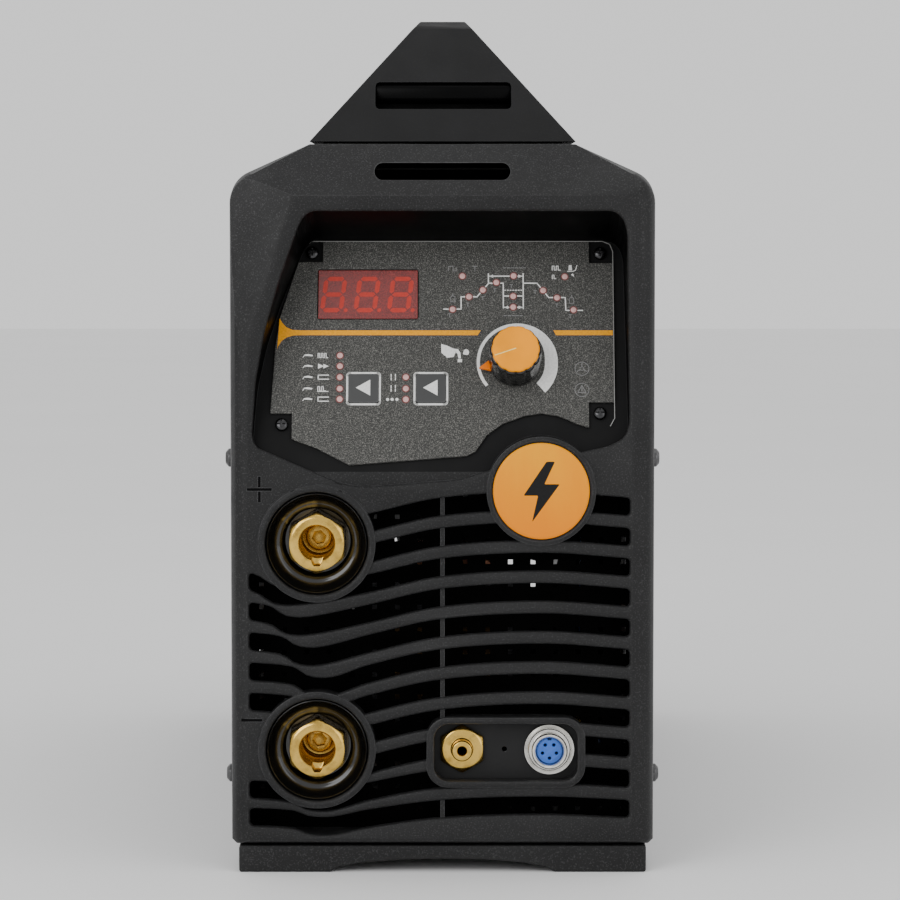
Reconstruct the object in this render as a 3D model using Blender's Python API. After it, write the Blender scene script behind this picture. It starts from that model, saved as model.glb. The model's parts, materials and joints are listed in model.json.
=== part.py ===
"""Inverter TIG welding machine: a narrow upright case with a moulded front and rear,
a sheet cover, a carry handle, a leaning control panel, two welding sockets, a gas
outlet, a torch control socket, and the fan, switch, valve and power parts behind them.

The front faces -Y, +X is to the right and +Z is up. The origin is on the ground,
under the middle of the case. Lengths below are in millimetres and are scaled once,
when a mesh is written.
"""

import math

import bmesh
import bpy
from mathutils import Matrix, Vector

MM = 0.001
GAP = 0.3                       # clearance between pieces that touch or nest

# Case
HALF_WIDTH = 79.0               # moulded front and rear, side to side
FACE_Y = 214.0                  # front face, and rear rim, from the middle
RIM_Y = 215.0                   # raised rings on the front
REAR_Y = 218.2                  # rear rim: as far back as the knob stands forward
SKIRT_Y = 164.0                 # inner end of each moulding's skirt
CASE_BOTTOM = 10.4
CREASE_Z = 252.7                # where the front face ends and leans back
CASE_TOP = 271.8
TOP_HALF = 49.5                 # half width of the flat top
LEAN_DEPTH = 14.0               # how far the leaning top face goes back
EDGE = 6.6                      # bevel from front face to side
WALL = 2.6
FRONT_WALL = 3.0
SHEET = 1.2
COVER_Y = 196.5

# Feet
FOOT_TOP = 10.1
FOOT_HALF = 76.2
ARCH_HALF = 42.0
ARCH_RISE = 5.0

# Handle
HANDLE_BASE = 272.9
HANDLE_TOP = 319.4
HANDLE_FOOT_HALF = 50.0
HANDLE_CREST_HALF = 11.2
HANDLE_FOOT_Y = 192.0
HANDLE_CREST_Y = 160.0
GRIP_BOTTOM = 294.5
GRIP_HALF = 14.0

# Leaning control panel
PANEL_Y = -213.0
PANEL_Z = 153.0
PANEL_LEAN = math.radians(20.0)
OVERLAY = 1.2
FLOOR = OVERLAY + GAP           # pocket floor, behind the panel's face
FLOOR_BACK = FLOOR + 2.2
BOARD_FRONT = 9.0
KNOB_U = 27.1
KNOB_V = 39.9
BUTTON_V = 29.5
BUTTON_HALF = 5.65
DISPLAY_HALF_U = 18.75
DISPLAY_HALF_V = 9.65
DISPLAY_U = -28.05
DISPLAY_V = 66.75
PANEL_SCREWS = {
    "panel_screw_top_left": (-49.2, 83.4),
    "panel_screw_top_right": (59.5, 83.2),
    "panel_screw_bottom_left": (-60.0, 15.7),
    "panel_screw_bottom_right": (58.8, 20.1),
}

# Sockets and fittings on the front, as (x, z)
PLUS = (-46.8, 123.6)
MINUS = (-46.8, 46.3)
BADGE = (36.7, 143.2)
GAS_OUTLET = (7.3, 45.9)
TORCH_SOCKET = (40.0, 45.6)
SOCKET_RING = 22.0
SOCKET_BORE = 19.2
SOCKET_FLOOR_Y = -182.5
BADGE_RING = 20.4
PILL_CENTRE = (23.65, 45.4)
PILL_HALF = (29.65, 13.2)
PILL_WALL = 2.9
PLATE_Y = -206.7
HEX_FACE_Y = -209.2
FLANGE_Y = -208.8

# Louvres
SLOT_COUNT = 11
SLOT_PITCH = 11.33
SLOT_HEIGHT = 6.6
FIRST_SLOT_Z = 133.9
SLOT_LEFT = -72.0
SLOT_RIGHT = 69.7
SLOT_ROUND = 1.5

# Perforated screen behind the louvres
SCREEN_Y = -201.0
SCREEN_HALF = 75.6
SCREEN_BOTTOM = 15.0
SCREEN_TOP = 150.0
SCREEN_PITCH = 8.5
SCREEN_HOLE = 1.8
SCREEN_COLUMNS = 17
SCREEN_ROWS = 15
SCREEN_FIRST_Z = 22.0

# Rear
REAR_PANEL_Y = 196.0
FAN_Z = 92.0
FAN_HALF = 60.0
FAN_BORE = 56.0
FAN_FRONT_Y = 157.5
SWITCH = (40.0, 208.0)
GLAND = (-40.0, 208.0)
GAS_INLET = (52.0, 173.0)


# ---------------------------------------------------------------- helpers

def clear_scene():
    """Start from an empty file."""
    for item in list(bpy.data.objects):
        bpy.data.objects.remove(item, do_unlink=True)


def material(name, colour, roughness, metallic=0.0):
    """A plain Principled material."""
    made = bpy.data.materials.new(name)
    made.use_nodes = True
    shader = made.node_tree.nodes["Principled BSDF"]
    shader.inputs["Base Color"].default_value = (*colour, 1.0)
    shader.inputs["Roughness"].default_value = roughness
    shader.inputs["Metallic"].default_value = metallic
    made.diffuse_color = (*colour, 1.0)
    return made


def skin(rings, closed=False):
    """A body through rings of equal length; its ends are capped unless it closes on itself."""
    mesh = bmesh.new()
    loops = [[mesh.verts.new(point) for point in ring] for ring in rings]
    pairs = list(zip(loops, loops[1:]))
    if closed:
        pairs.append((loops[-1], loops[0]))
    else:
        mesh.faces.new(loops[0])
        mesh.faces.new(loops[-1])
    for lower, upper in pairs:
        for i in range(len(lower)):
            j = (i + 1) % len(lower)
            mesh.faces.new((lower[i], lower[j], upper[j], upper[i]))
    bmesh.ops.recalc_face_normals(mesh, faces=mesh.faces)
    return mesh


def prism_y(outline, y_low, y_high):
    """An outline in XZ, extruded along Y."""
    return skin([[(x, y, z) for x, z in outline] for y in (y_low, y_high)])


def prism_x(outline, x_low, x_high):
    """An outline in YZ, extruded along X."""
    return skin([[(x, y, z) for y, z in outline] for x in (x_low, x_high)])


def prism_z(outline, z_low, z_high):
    """An outline in XY, extruded along Z."""
    return skin([[(x, y, z) for x, y in outline] for z in (z_low, z_high)])


def box(low, high):
    """A block from its lowest to its highest corner."""
    (x0, y0, z0), (x1, y1, z1) = low, high
    return prism_y([(x0, z0), (x1, z0), (x1, z1), (x0, z1)], y0, y1)


def circle(radius, count, centre=(0.0, 0.0), start=0.0):
    """Points of a circle, as an outline."""
    step = 2.0 * math.pi / count
    return [
        (centre[0] + radius * math.cos(start + i * step), centre[1] + radius * math.sin(start + i * step))
        for i in range(count)
    ]


def arc(centre, radius, start_deg, end_deg, count):
    """Points of an arc, both ends included."""
    angles = [math.radians(start_deg + (end_deg - start_deg) * i / (count - 1)) for i in range(count)]
    return [(centre[0] + radius * math.cos(a), centre[1] + radius * math.sin(a)) for a in angles]


def rounded_box_outline(centre, half, radius, count=4):
    """A rectangle with round corners."""
    points = []
    for sx, sz, start in ((1, 1, 0), (-1, 1, 90), (-1, -1, 180), (1, -1, 270)):
        corner = (centre[0] + sx * (half[0] - radius), centre[1] + sz * (half[1] - radius))
        points += arc(corner, radius, start, start + 90, count)
    return points


def turned(profile, count, centre=(0.0, 0.0)):
    """A solid turned about an axis along Y, from (radius, y) pairs."""
    rings = [[(x, y, z) for x, z in circle(radius, count, centre)] for radius, y in profile]
    return skin(rings)


def turned_ring(profile, count, centre=(0.0, 0.0)):
    """A ring turned about an axis along Y, from a closed section of (radius, y) pairs."""
    rings = [[(x, y, z) for x, z in circle(radius, count, centre)] for radius, y in profile]
    return skin(rings, closed=True)


def merged(*meshes):
    """Several closed meshes in one, for a cutter."""
    whole = bmesh.new()
    for mesh in meshes:
        copy = bpy.data.meshes.new("merge")
        mesh.to_mesh(copy)
        whole.from_mesh(copy)
        bpy.data.meshes.remove(copy)
        mesh.free()
    return whole


def offset_outline(outline, distance):
    """Move each edge of a counter-clockwise outline outwards."""
    moved = []
    count = len(outline)
    for i in range(count):
        before = Vector(outline[i - 1])
        here = Vector(outline[i])
        after = Vector(outline[(i + 1) % count])
        into = (here - before).normalized()
        out = (after - here).normalized()
        normal_in = Vector((into.y, -into.x))
        normal_out = Vector((out.y, -out.x))
        bisector = (normal_in + normal_out).normalized()
        moved.append(tuple(here + bisector * (distance / max(bisector.dot(normal_in), 0.4))))
    return moved


def smooth_points(anchors, steps):
    """A smooth curve through anchors, with a number of steps between each pair."""
    ends = [anchors[0], *anchors, anchors[-1]]
    points = []
    for i in range(len(anchors) - 1):
        a, b, c, d = (Vector(p) for p in ends[i:i + 4])
        for k in range(steps):
            t = k / steps
            spot = 0.5 * (
                2 * b + (c - a) * t + (2 * a - 5 * b + 4 * c - d) * t * t + (3 * b - a - 3 * c + d) * t ** 3
            )
            points.append(tuple(spot))
    points.append(tuple(anchors[-1]))
    return points


def to_object(name, mesh, scale_to_metres=True):
    """Write a bmesh, in millimetres, to an object in metres."""
    if scale_to_metres:
        bmesh.ops.scale(mesh, vec=(MM, MM, MM), verts=mesh.verts)
    data = bpy.data.meshes.new(name)
    mesh.to_mesh(data)
    mesh.free()
    item = bpy.data.objects.new(name, data)
    bpy.context.scene.collection.objects.link(item)
    return item


def piece(name, mesh, finish, at=(0.0, 0.0, 0.0), parent=None, tilt=0.0):
    """A named piece: its mesh is about its own origin, which stands at a place in millimetres."""
    item = to_object(name, mesh)
    item.location = Vector(at) * MM
    item.rotation_euler = (tilt, 0.0, 0.0)
    item.parent = parent
    item.data.materials.append(finish)
    item.data.shade_smooth()
    item.data.set_sharp_from_angle(angle=math.radians(32.0))
    return item


def cutter(name, mesh, parent=None):
    """A shape that only cuts or joins others."""
    item = to_object(name, mesh)
    item.parent = parent
    item.hide_render = True
    item.display_type = "WIRE"
    return item


def boolean(item, operation, tool, solver="EXACT"):
    """Cut, join or intersect one object with another."""
    step = item.modifiers.new(operation.lower() + "_" + tool.name, "BOOLEAN")
    step.operation = operation
    step.solver = solver
    step.object = tool


def cut(item, *tools):
    """Take shapes out of an object."""
    for tool in tools:
        boolean(item, "DIFFERENCE", tool)


def join(item, *tools):
    """Add shapes to an object."""
    for tool in tools:
        boolean(item, "UNION", tool)


def empty(name, at, tilt=0.0):
    """A datum that pieces stand on."""
    item = bpy.data.objects.new(name, None)
    item.location = Vector(at) * MM
    item.rotation_euler = (tilt, 0.0, 0.0)
    bpy.context.scene.collection.objects.link(item)
    return item


# ---------------------------------------------------------------- finishes

def make_finishes():
    """All materials, by name."""
    return {
        "case_plastic": material("case_plastic", (0.030, 0.030, 0.031), 0.48),
        "panel_film": material("panel_film", (0.060, 0.063, 0.062), 0.42),
        "gloss_black": material("gloss_black", (0.010, 0.010, 0.011), 0.16),
        "orange_plastic": material("orange_plastic", (0.93, 0.36, 0.02), 0.35),
        "display_red": material("display_red", (0.30, 0.05, 0.05), 0.25),
        "brass": material("brass", (0.72, 0.52, 0.22), 0.26, 1.0),
        "copper": material("copper", (0.80, 0.42, 0.28), 0.35, 1.0),
        "nickel": material("nickel", (0.72, 0.71, 0.68), 0.22, 1.0),
        "blackened_steel": material("blackened_steel", (0.045, 0.045, 0.045), 0.4, 0.8),
        "coated_steel": material("coated_steel", (0.035, 0.035, 0.036), 0.55, 0.1),
        "zinc_steel": material("zinc_steel", (0.62, 0.63, 0.64), 0.35, 1.0),
        "insert_blue": material("insert_blue", (0.05, 0.16, 0.50), 0.45),
        "board_green": material("board_green", (0.03, 0.16, 0.07), 0.5),
        "heatsink_aluminium": material("heatsink_aluminium", (0.70, 0.71, 0.73), 0.4, 1.0),
        "ferrite": material("ferrite", (0.07, 0.07, 0.075), 0.6),
        "winding_tape": material("winding_tape", (0.80, 0.62, 0.10), 0.5),
        "capacitor_sleeve": material("capacitor_sleeve", (0.05, 0.07, 0.18), 0.35),
        "hose": material("hose", (0.04, 0.13, 0.30), 0.4),
        "fan_plastic": material("fan_plastic", (0.03, 0.03, 0.03), 0.5),
        "button_white": material("button_white", (0.10, 0.10, 0.10), 0.5),
    }


# ---------------------------------------------------------------- case

def half_to_whole(right_half):
    """Mirror a right-hand half outline, top to bottom, into a closed one."""
    return right_half + [(-x, z) for x, z in reversed(right_half)]


def front_outline(inset=0.0):
    """The flat front face, inside the edge bevel."""
    side = HALF_WIDTH - EDGE
    bottom = CASE_BOTTOM + 2.1 + inset
    right = [(TOP_HALF, CREASE_Z - inset)]
    right += arc((side - 7.0, CREASE_Z - 7.0), 7.0 - inset, 90, 0, 5)
    right += [(side - inset, bottom + 1.5), (side - inset - 1.5, bottom)]
    return half_to_whole(right)


def shoulder_outline(top_z, arc_centre_z, start_deg, inset=0.0):
    """A full-width outline whose shoulders slope down from the top."""
    bottom = CASE_BOTTOM + inset
    right = [(TOP_HALF - 0.2 * inset, top_z - inset)]
    right += arc((HALF_WIDTH - 11.0, arc_centre_z), 11.0 - inset, start_deg, 0, 5)
    right += [(HALF_WIDTH - inset, bottom + 1.5), (HALF_WIDTH - inset - 1.5, bottom)]
    return half_to_whole(right)


def case_section(inset=0.0):
    """The case's full section, moved inwards."""
    return shoulder_outline(CASE_TOP, 251.3, 66, inset)


def moulding(direction, end_y, inner_y, inset):
    """The front (direction -1) or rear (+1) moulding's shape, or its hollow when inset."""
    part_up = CREASE_Z + (CASE_TOP - CREASE_Z) * EDGE / LEAN_DEPTH
    rings = [
        (end_y, front_outline(inset)),
        (end_y - EDGE, shoulder_outline(part_up, 250.0, 78, inset)),
        (end_y - LEAN_DEPTH, case_section(inset)),
        (inner_y, case_section(inset)),
    ]
    return skin([[(x, direction * y, z) for x, z in ring] for y, ring in rings])


def wave(x, slot):
    """How far a louvre's lower edge stands above its right-hand end."""
    strength = {SLOT_COUNT - 2: 0.8, SLOT_COUNT - 1: 0.6}.get(slot, 1.0)
    kink = min(-62.7 + 4.2 * max(slot - 2, 0), -50.0)
    anchors = [
        (SLOT_LEFT - 1.0, -4.8), (kink - 5.5, -6.6), (kink, -10.0), (kink + 9.0, -10.4),
        (-28.0, -6.0), (-1.0, 0.0), (37.0, 2.2), (SLOT_RIGHT + 1.0, 0.0),
    ]
    for i in range(len(anchors) - 1):
        if x <= anchors[i + 1][0]:
            before = anchors[max(i - 1, 0)]
            start = anchors[i]
            end = anchors[i + 1]
            after = anchors[min(i + 2, len(anchors) - 1)]
            break
    span = end[0] - start[0]
    t = (x - start[0]) / span
    slope_in = (end[1] - before[1]) / (end[0] - before[0]) * span
    slope_out = (after[1] - start[1]) / (after[0] - start[0]) * span
    height = (
        (2 * t ** 3 - 3 * t ** 2 + 1) * start[1] + (t ** 3 - 2 * t ** 2 + t) * slope_in
        + (3 * t ** 2 - 2 * t ** 3) * end[1] + (t ** 3 - t ** 2) * slope_out
    )
    return strength * height


def louvre(slot, steps=11):
    """One wavy slot's cutter, through the front wall."""
    beside_ring = slot in (0, 1, 7, 8)
    left = PLUS[0] + 8.0 if beside_ring else SLOT_LEFT
    base = FIRST_SLOT_Z - SLOT_PITCH * slot
    spots = [left, left + SLOT_ROUND]
    spots += [left + SLOT_ROUND + (SLOT_RIGHT - left - 2 * SLOT_ROUND) * i / steps for i in range(1, steps)]
    spots += [SLOT_RIGHT - SLOT_ROUND, SLOT_RIGHT]
    lower = []
    upper = []
    for x in spots:
        at_end = x in (left, SLOT_RIGHT)
        pinch = SLOT_ROUND * 0.8 if at_end else 0.0
        height = base + wave(x, slot)
        lower.append((x, height + pinch))
        upper.append((x, height + SLOT_HEIGHT - pinch))
    return prism_y(lower + upper[::-1], -RIM_Y - 2.0, -FACE_Y + FRONT_WALL + 1.0)


def pocket_outline():
    """The panel pocket in the panel's own plane: across and up."""
    return [
        (-29.8, -8.0), (6.5, -5.3), (16.5, -2.1), (53.5, 4.8), (62.0, 6.5), (67.5, 9.4), (69.3, 14.0),
        (68.3, 80.7), (67.0, 85.5), (63.8, 88.3), (-48.5, 88.3), (-51.6, 86.2), (-53.5, 82.4),
        (-60.6, 63.5), (-66.0, 46.1), (-69.3, 28.9), (-70.6, 9.5), (-69.0, 6.0), (-38.4, -6.5),
    ]


def make_front_bezel(finish, panel):
    """The moulded front: shell, panel pocket, louvres, rings and pill."""
    bezel = piece("front_bezel", moulding(-1, FACE_Y, SKIRT_Y, 0.0), finish)
    cut(bezel, cutter("front_hollow", moulding(-1, FACE_Y - FRONT_WALL, SKIRT_Y - 5.0, WALL)))

    wall_block = cutter("pocket_wall", prism_y(offset_outline(pocket_outline(), 2.4), -60.0, FLOOR_BACK), panel)
    keep = cutter(
        "pocket_wall_limit",
        box((-HALF_WIDTH + 1.2, -FACE_Y + 0.8, CASE_BOTTOM + 1.0), (HALF_WIDTH - 1.2, -150.0, CREASE_Z - 1.0)),
    )
    boolean(wall_block, "INTERSECT", keep)
    join(bezel, wall_block)
    cut(bezel, cutter("pocket_hollow", prism_y(pocket_outline(), -60.0, FLOOR), panel))

    slots = merged(*[louvre(i) for i in range(SLOT_COUNT)])
    cut(bezel, cutter("louvres", slots))
    rib = box((-0.8, -FACE_Y + 1.8, 14.0), (0.8, -FACE_Y + 6.0, 141.0))
    join(bezel, cutter("louvre_rib", rib))

    rings = merged(
        turned([(SOCKET_RING, -RIM_Y), (SOCKET_RING, -RIM_Y + 9.0)], 32, PLUS),
        turned([(SOCKET_RING, -RIM_Y), (SOCKET_RING, -RIM_Y + 9.0)], 32, MINUS),
        turned([(BADGE_RING, -RIM_Y), (BADGE_RING, -RIM_Y + 8.5)], 32, BADGE),
        prism_y(rounded_box_outline(PILL_CENTRE, PILL_HALF, 8.0, 5), -RIM_Y, PLATE_Y - GAP),
    )
    join(bezel, cutter("rings", rings))

    pill_inner = (PILL_HALF[0] - PILL_WALL, PILL_HALF[1] - PILL_WALL + 0.4)
    bores = merged(
        turned([(SOCKET_BORE, -RIM_Y - 1.0), (SOCKET_BORE, -195.0)], 32, PLUS),
        turned([(SOCKET_BORE, -RIM_Y - 1.0), (SOCKET_BORE, -195.0)], 32, MINUS),
        turned([(18.3, -RIM_Y - 1.0), (18.3, -RIM_Y + 1.7)], 32, BADGE),
        prism_y(rounded_box_outline(PILL_CENTRE, pill_inner, 5.6, 5), -RIM_Y - 1.0, -200.0),
        prism_y(rounded_box_outline((0.0, 261.6), (25.2, 3.2), 3.1, 5), -RIM_Y - 1.0, -190.0),
    )
    cut(bezel, cutter("front_bores", bores))

    window = merged(
        box((-50.0, -1.0, 22.0), (54.0, 8.0, 79.0)),
        *[turned([(1.6, -1.0), (1.6, 8.0)], 10, spot) for spot in PANEL_SCREWS.values()],
    )
    cut(bezel, cutter("panel_window", window, panel))
    cut(bezel, side_screw_holes())
    return bezel


def side_screw_spots():
    """Side, height and name of each screw that ties the cover to the front."""
    return [
        (side, height, "side_screw_" + label + "_" + level)
        for side, label in ((-1, "left"), (1, "right"))
        for height, level in ((154.0, "upper"), (34.0, "lower"))
    ]


def screw_along_x(head_radius, head_height, shank_radius, shank_length):
    """A pan-head screw whose head faces +X, with the head's underside at x = 0."""
    profile = [
        (0.62 * head_radius, head_height), (head_radius, 0.55 * head_height), (head_radius, 0.0),
        (shank_radius, 0.0), (shank_radius, -shank_length),
    ]
    rings = [[(x, y, z) for y, z in circle(radius, 12)] for radius, x in profile]
    return skin(rings)


def side_screw_holes():
    """Clearance holes through the front's skirt and the cover."""
    holes = []
    for side, height, _ in side_screw_spots():
        rings = [[(side * x, y - 190.0, z + height) for y, z in circle(2.3, 12)] for x in (70.0, 85.0)]
        holes.append(skin(rings))
    return cutter("side_screw_holes", merged(*holes))


def make_side_screws(finish):
    """Four screws in the skirt of the front moulding."""
    for side, height, name in side_screw_spots():
        mesh = screw_along_x(3.5, 2.6, 1.9, 8.0)
        if side < 0:
            bmesh.ops.rotate(mesh, verts=mesh.verts, matrix=Matrix.Rotation(math.pi, 3, "Z"))
        piece(name, mesh, finish, at=(side * (HALF_WIDTH + GAP), -190.0, height))


def make_rear_bezel(finish):
    """The moulded rear rim around the recessed rear panel."""
    bezel = piece("rear_bezel", moulding(1, REAR_Y, SKIRT_Y, 0.0), finish)
    cut(bezel, cutter("rear_hollow", moulding(1, REAR_Y - FRONT_WALL, SKIRT_Y - 5.0, WALL)))
    cut(bezel, cutter("rear_window", prism_y(front_outline(5.0), REAR_Y - 10.0, REAR_Y + 2.0)))


def make_cover(finish):
    """The bent sheet over the top and sides, with vent slots in each side."""
    section = case_section(WALL + 0.4)
    half = len(section) // 2
    right = section[:half - 1]
    left = section[half + 1:]
    outer = left + right
    leg_end = CASE_BOTTOM + 5.0
    outer = [(outer[0][0], leg_end)] + outer + [(outer[-1][0], leg_end)]
    cleaned = [p for i, p in enumerate(outer) if i == 0 or (Vector(p) - Vector(outer[i - 1])).length > 0.5]
    inner = []
    for x, z in cleaned:
        side = min(max(x / 60.0, -1.0), 1.0)
        inner.append((x - SHEET * side, z if z == leg_end else z - SHEET * (1.0 - abs(side) * 0.6)))
    outline = cleaned + inner[::-1]
    cover = piece("case_cover", prism_y(outline, -COVER_Y, COVER_Y), finish)
    vents = []
    for row in range(8):
        height = 52.0 + 12.0 * row
        for middle in (-95.0, 20.0):
            vents.append(box((-90.0, middle - 32.0, height), (90.0, middle + 32.0, height + 4.0)))
    cut(cover, cutter("cover_vents", merged(*vents)), side_screw_holes())


def make_chassis(finish):
    """The folded floor tray and the rear panel."""
    low = CASE_BOTTOM + GAP
    wide = 73.9
    tray = [
        (-wide, low), (wide, low), (wide, 26.0), (wide - SHEET, 26.0),
        (wide - SHEET, low + 1.5), (-wide + SHEET, low + 1.5), (-wide + SHEET, 26.0), (-wide, 26.0),
    ]
    piece("chassis_tray", prism_y(tray, -SKIRT_Y + 5.3, SKIRT_Y - 5.3), finish)

    panel = piece("rear_panel", prism_y(case_section(4.7), REAR_PANEL_Y, REAR_PANEL_Y + 1.5), finish)
    holes = merged(
        turned([(FAN_BORE - 1.0, 190.0), (FAN_BORE - 1.0, 200.0)], 36, (0.0, FAN_Z)),
        prism_y(rounded_box_outline(SWITCH, (11.4, 15.4), 1.0, 2), 190.0, 200.0),
        turned([(10.1, 190.0), (10.1, 200.0)], 24, GLAND),
        turned([(5.3, 190.0), (5.3, 200.0)], 16, GAS_INLET),
    )
    cut(panel, cutter("rear_panel_holes", holes))


def make_feet(finish):
    """Moulded feet with a shallow arch, under the front and the rear."""
    arch = [
        (ARCH_HALF * math.cos(a), ARCH_RISE * math.sin(a))
        for a in (math.radians(22.5 * i) for i in range(1, 8))
    ]
    outline = [(-FOOT_HALF, FOOT_TOP), (-FOOT_HALF, 0.0), (-ARCH_HALF, 0.0)]
    outline += arch[::-1]
    outline += [(ARCH_HALF, 0.0), (FOOT_HALF, 0.0), (FOOT_HALF, FOOT_TOP)]
    piece("front_foot", prism_y(outline, -FACE_Y + 1.5, -125.0), finish)
    piece("rear_foot", prism_y(outline, 125.0, FACE_Y - 1.5), finish)


def handle_profile(inset, low, high):
    """The handle's front view: a trapezoid with a small crest."""
    slope = (HANDLE_FOOT_HALF - HANDLE_CREST_HALF) / (HANDLE_TOP - 2.8 - HANDLE_BASE)
    crest = HANDLE_CREST_HALF - inset
    shoulder = min(high - 2.8, HANDLE_TOP - 2.8)
    at_shoulder = HANDLE_FOOT_HALF - inset - slope * (shoulder - HANDLE_BASE)
    foot = HANDLE_FOOT_HALF - inset - slope * (low - HANDLE_BASE)
    tip = min(crest, at_shoulder) - 2.6
    return [(-foot, low), (foot, low), (at_shoulder, shoulder), (tip, high), (-tip, high), (-at_shoulder, shoulder)]


def make_handle(finish):
    """A moulded handle: two hollow legs, joined by a grip along the case."""
    handle = piece("carry_handle", prism_y(handle_profile(0.0, HANDLE_BASE, HANDLE_TOP), -200.0, 200.0), finish)
    under = [(-130.0, HANDLE_BASE)] + arc((-104.0, GRIP_BOTTOM - 12.0), 12.0, 165, 90, 4)
    under += [(-y, z) for y, z in reversed(under)]
    side = [(-HANDLE_FOOT_Y, HANDLE_BASE)] + under + [(HANDLE_FOOT_Y, HANDLE_BASE)]
    side += [(HANDLE_CREST_Y + 3.0, HANDLE_TOP - 3.0), (HANDLE_CREST_Y - 2.0, HANDLE_TOP)]
    side += [(-HANDLE_CREST_Y + 2.0, HANDLE_TOP), (-HANDLE_CREST_Y - 3.0, HANDLE_TOP - 3.0)]
    boolean(handle, "INTERSECT", cutter("handle_side", prism_x(side, -70.0, 70.0)))

    waists = []
    for sign in (-1, 1):
        plan = [(sign * 70.0, -163.0), (sign * 70.0, 163.0), (sign * GRIP_HALF, 106.0), (sign * GRIP_HALF, -106.0)]
        waists.append(prism_z(plan, HANDLE_BASE - 5.0, HANDLE_TOP + 5.0))
    cut(handle, cutter("handle_waists", merged(*waists)))

    for sign, label in ((-1, "front"), (1, "rear")):
        hollow = [(sign * 187.6, 268.0), (sign * 184.6, 275.0), (sign * 169.0, 299.0), (sign * 160.0, 299.0)]
        hollow += [(sign * 160.0, 268.0)]
        tool = cutter("handle_hollow_" + label, prism_x(hollow, -70.0, 70.0))
        limit = cutter("handle_hollow_limit_" + label, prism_y(handle_profile(4.0, 268.0, 308.0), -210.0, 210.0))
        boolean(tool, "INTERSECT", limit)
        cut(handle, tool)
    strap = merged(
        prism_y(rounded_box_outline((0.3, 290.5), (25.6, 5.1), 1.4, 3), -205.0, -163.0),
        prism_y(rounded_box_outline((0.3, 290.5), (25.6, 5.1), 1.4, 3), 163.0, 205.0),
    )
    cut(handle, cutter("strap_slots", strap))


# ---------------------------------------------------------------- control panel

def overlay_outline():
    """The printed panel film, in the panel's own plane."""
    badge_arc = [(16.6, 11.5), (22.5, 15.9), (30.4, 18.8), (36.8, 19.9), (43.3, 18.8), (49.9, 15.9), (54.2, 14.4)]
    return [
        (-34.6, -0.1), (8.8, 3.4), (12.2, 5.1), *badge_arc, (62.6, 15.0), (64.2, 18.0),
        (64.3, 83.7), (63.2, 86.6), (60.4, 87.8), (-49.2, 87.8), (-51.6, 86.4), (-53.2, 83.4),
        (-61.1, 57.7), (-62.7, 46.2), (-64.2, 20.9), (-63.9, 13.0), (-46.6, 6.2),
    ]


def make_panel(finish, panel):
    """The film, display, board, buttons, encoder, knob and screws."""
    film = piece("panel_overlay", prism_y(overlay_outline(), 0.0, OVERLAY), finish["panel_film"], parent=panel)
    display_spot = (DISPLAY_U, DISPLAY_V)
    notches = [
        box((-60.0, -1.0, 79.6), (-45.2, 3.0, 90.0)), box((55.4, -1.0, 79.2), (70.0, 3.0, 90.0)),
        box((-70.0, -1.0, 5.0), (-56.2, 3.0, 19.9)), box((54.7, -1.0, 12.0), (70.0, 3.0, 24.2)),
    ]
    openings = merged(
        prism_y(rounded_box_outline(display_spot, (DISPLAY_HALF_U + GAP, DISPLAY_HALF_V + GAP), 0.6, 2), -1.0, 3.0),
        *[
            prism_y(rounded_box_outline((u, BUTTON_V), (BUTTON_HALF + GAP, BUTTON_HALF + GAP), 1.0, 3), -1.0, 3.0)
            for u in (-29.5, -4.35)
        ],
        turned([(5.0, -1.0), (5.0, 3.0)], 20, (KNOB_U, KNOB_V)),
        *notches,
    )
    cut(film, cutter("panel_openings", openings, panel))

    screen = box(
        (DISPLAY_U - DISPLAY_HALF_U, 0.3, DISPLAY_V - DISPLAY_HALF_V),
        (DISPLAY_U + DISPLAY_HALF_U, BOARD_FRONT - GAP, DISPLAY_V + DISPLAY_HALF_V),
    )
    piece("display_module", screen, finish["display_red"], parent=panel)
    board = box((-48.0, BOARD_FRONT, 23.0), (52.0, BOARD_FRONT + 1.6, 78.0))
    piece("control_board", board, finish["board_green"], parent=panel)

    for name, u in (("button_left", -29.5), ("button_right", -4.35)):
        cap = rounded_box_outline((0.0, 0.0), (BUTTON_HALF, BUTTON_HALF), 0.9, 3)
        stem = rounded_box_outline((0.0, 0.0), (2.2, 2.2), 0.4, 3)
        rings = [(cap, -0.7), (cap, 3.0), (stem, 3.0), (stem, BOARD_FRONT - 0.8)]
        mesh = skin([[(x, y, z) for x, z in outline] for outline, y in rings])
        piece(name, mesh, finish["button_white"], at=(u, 0.0, BUTTON_V), parent=panel)

    for name, (u, v) in PANEL_SCREWS.items():
        profile = [(1.5, -0.6), (2.4, -0.1), (2.4, FLOOR - GAP), (1.3, FLOOR - GAP), (1.3, 7.0)]
        piece(name, turned(profile, 14), finish["blackened_steel"], at=(u, 0.0, v), parent=panel)


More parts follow.
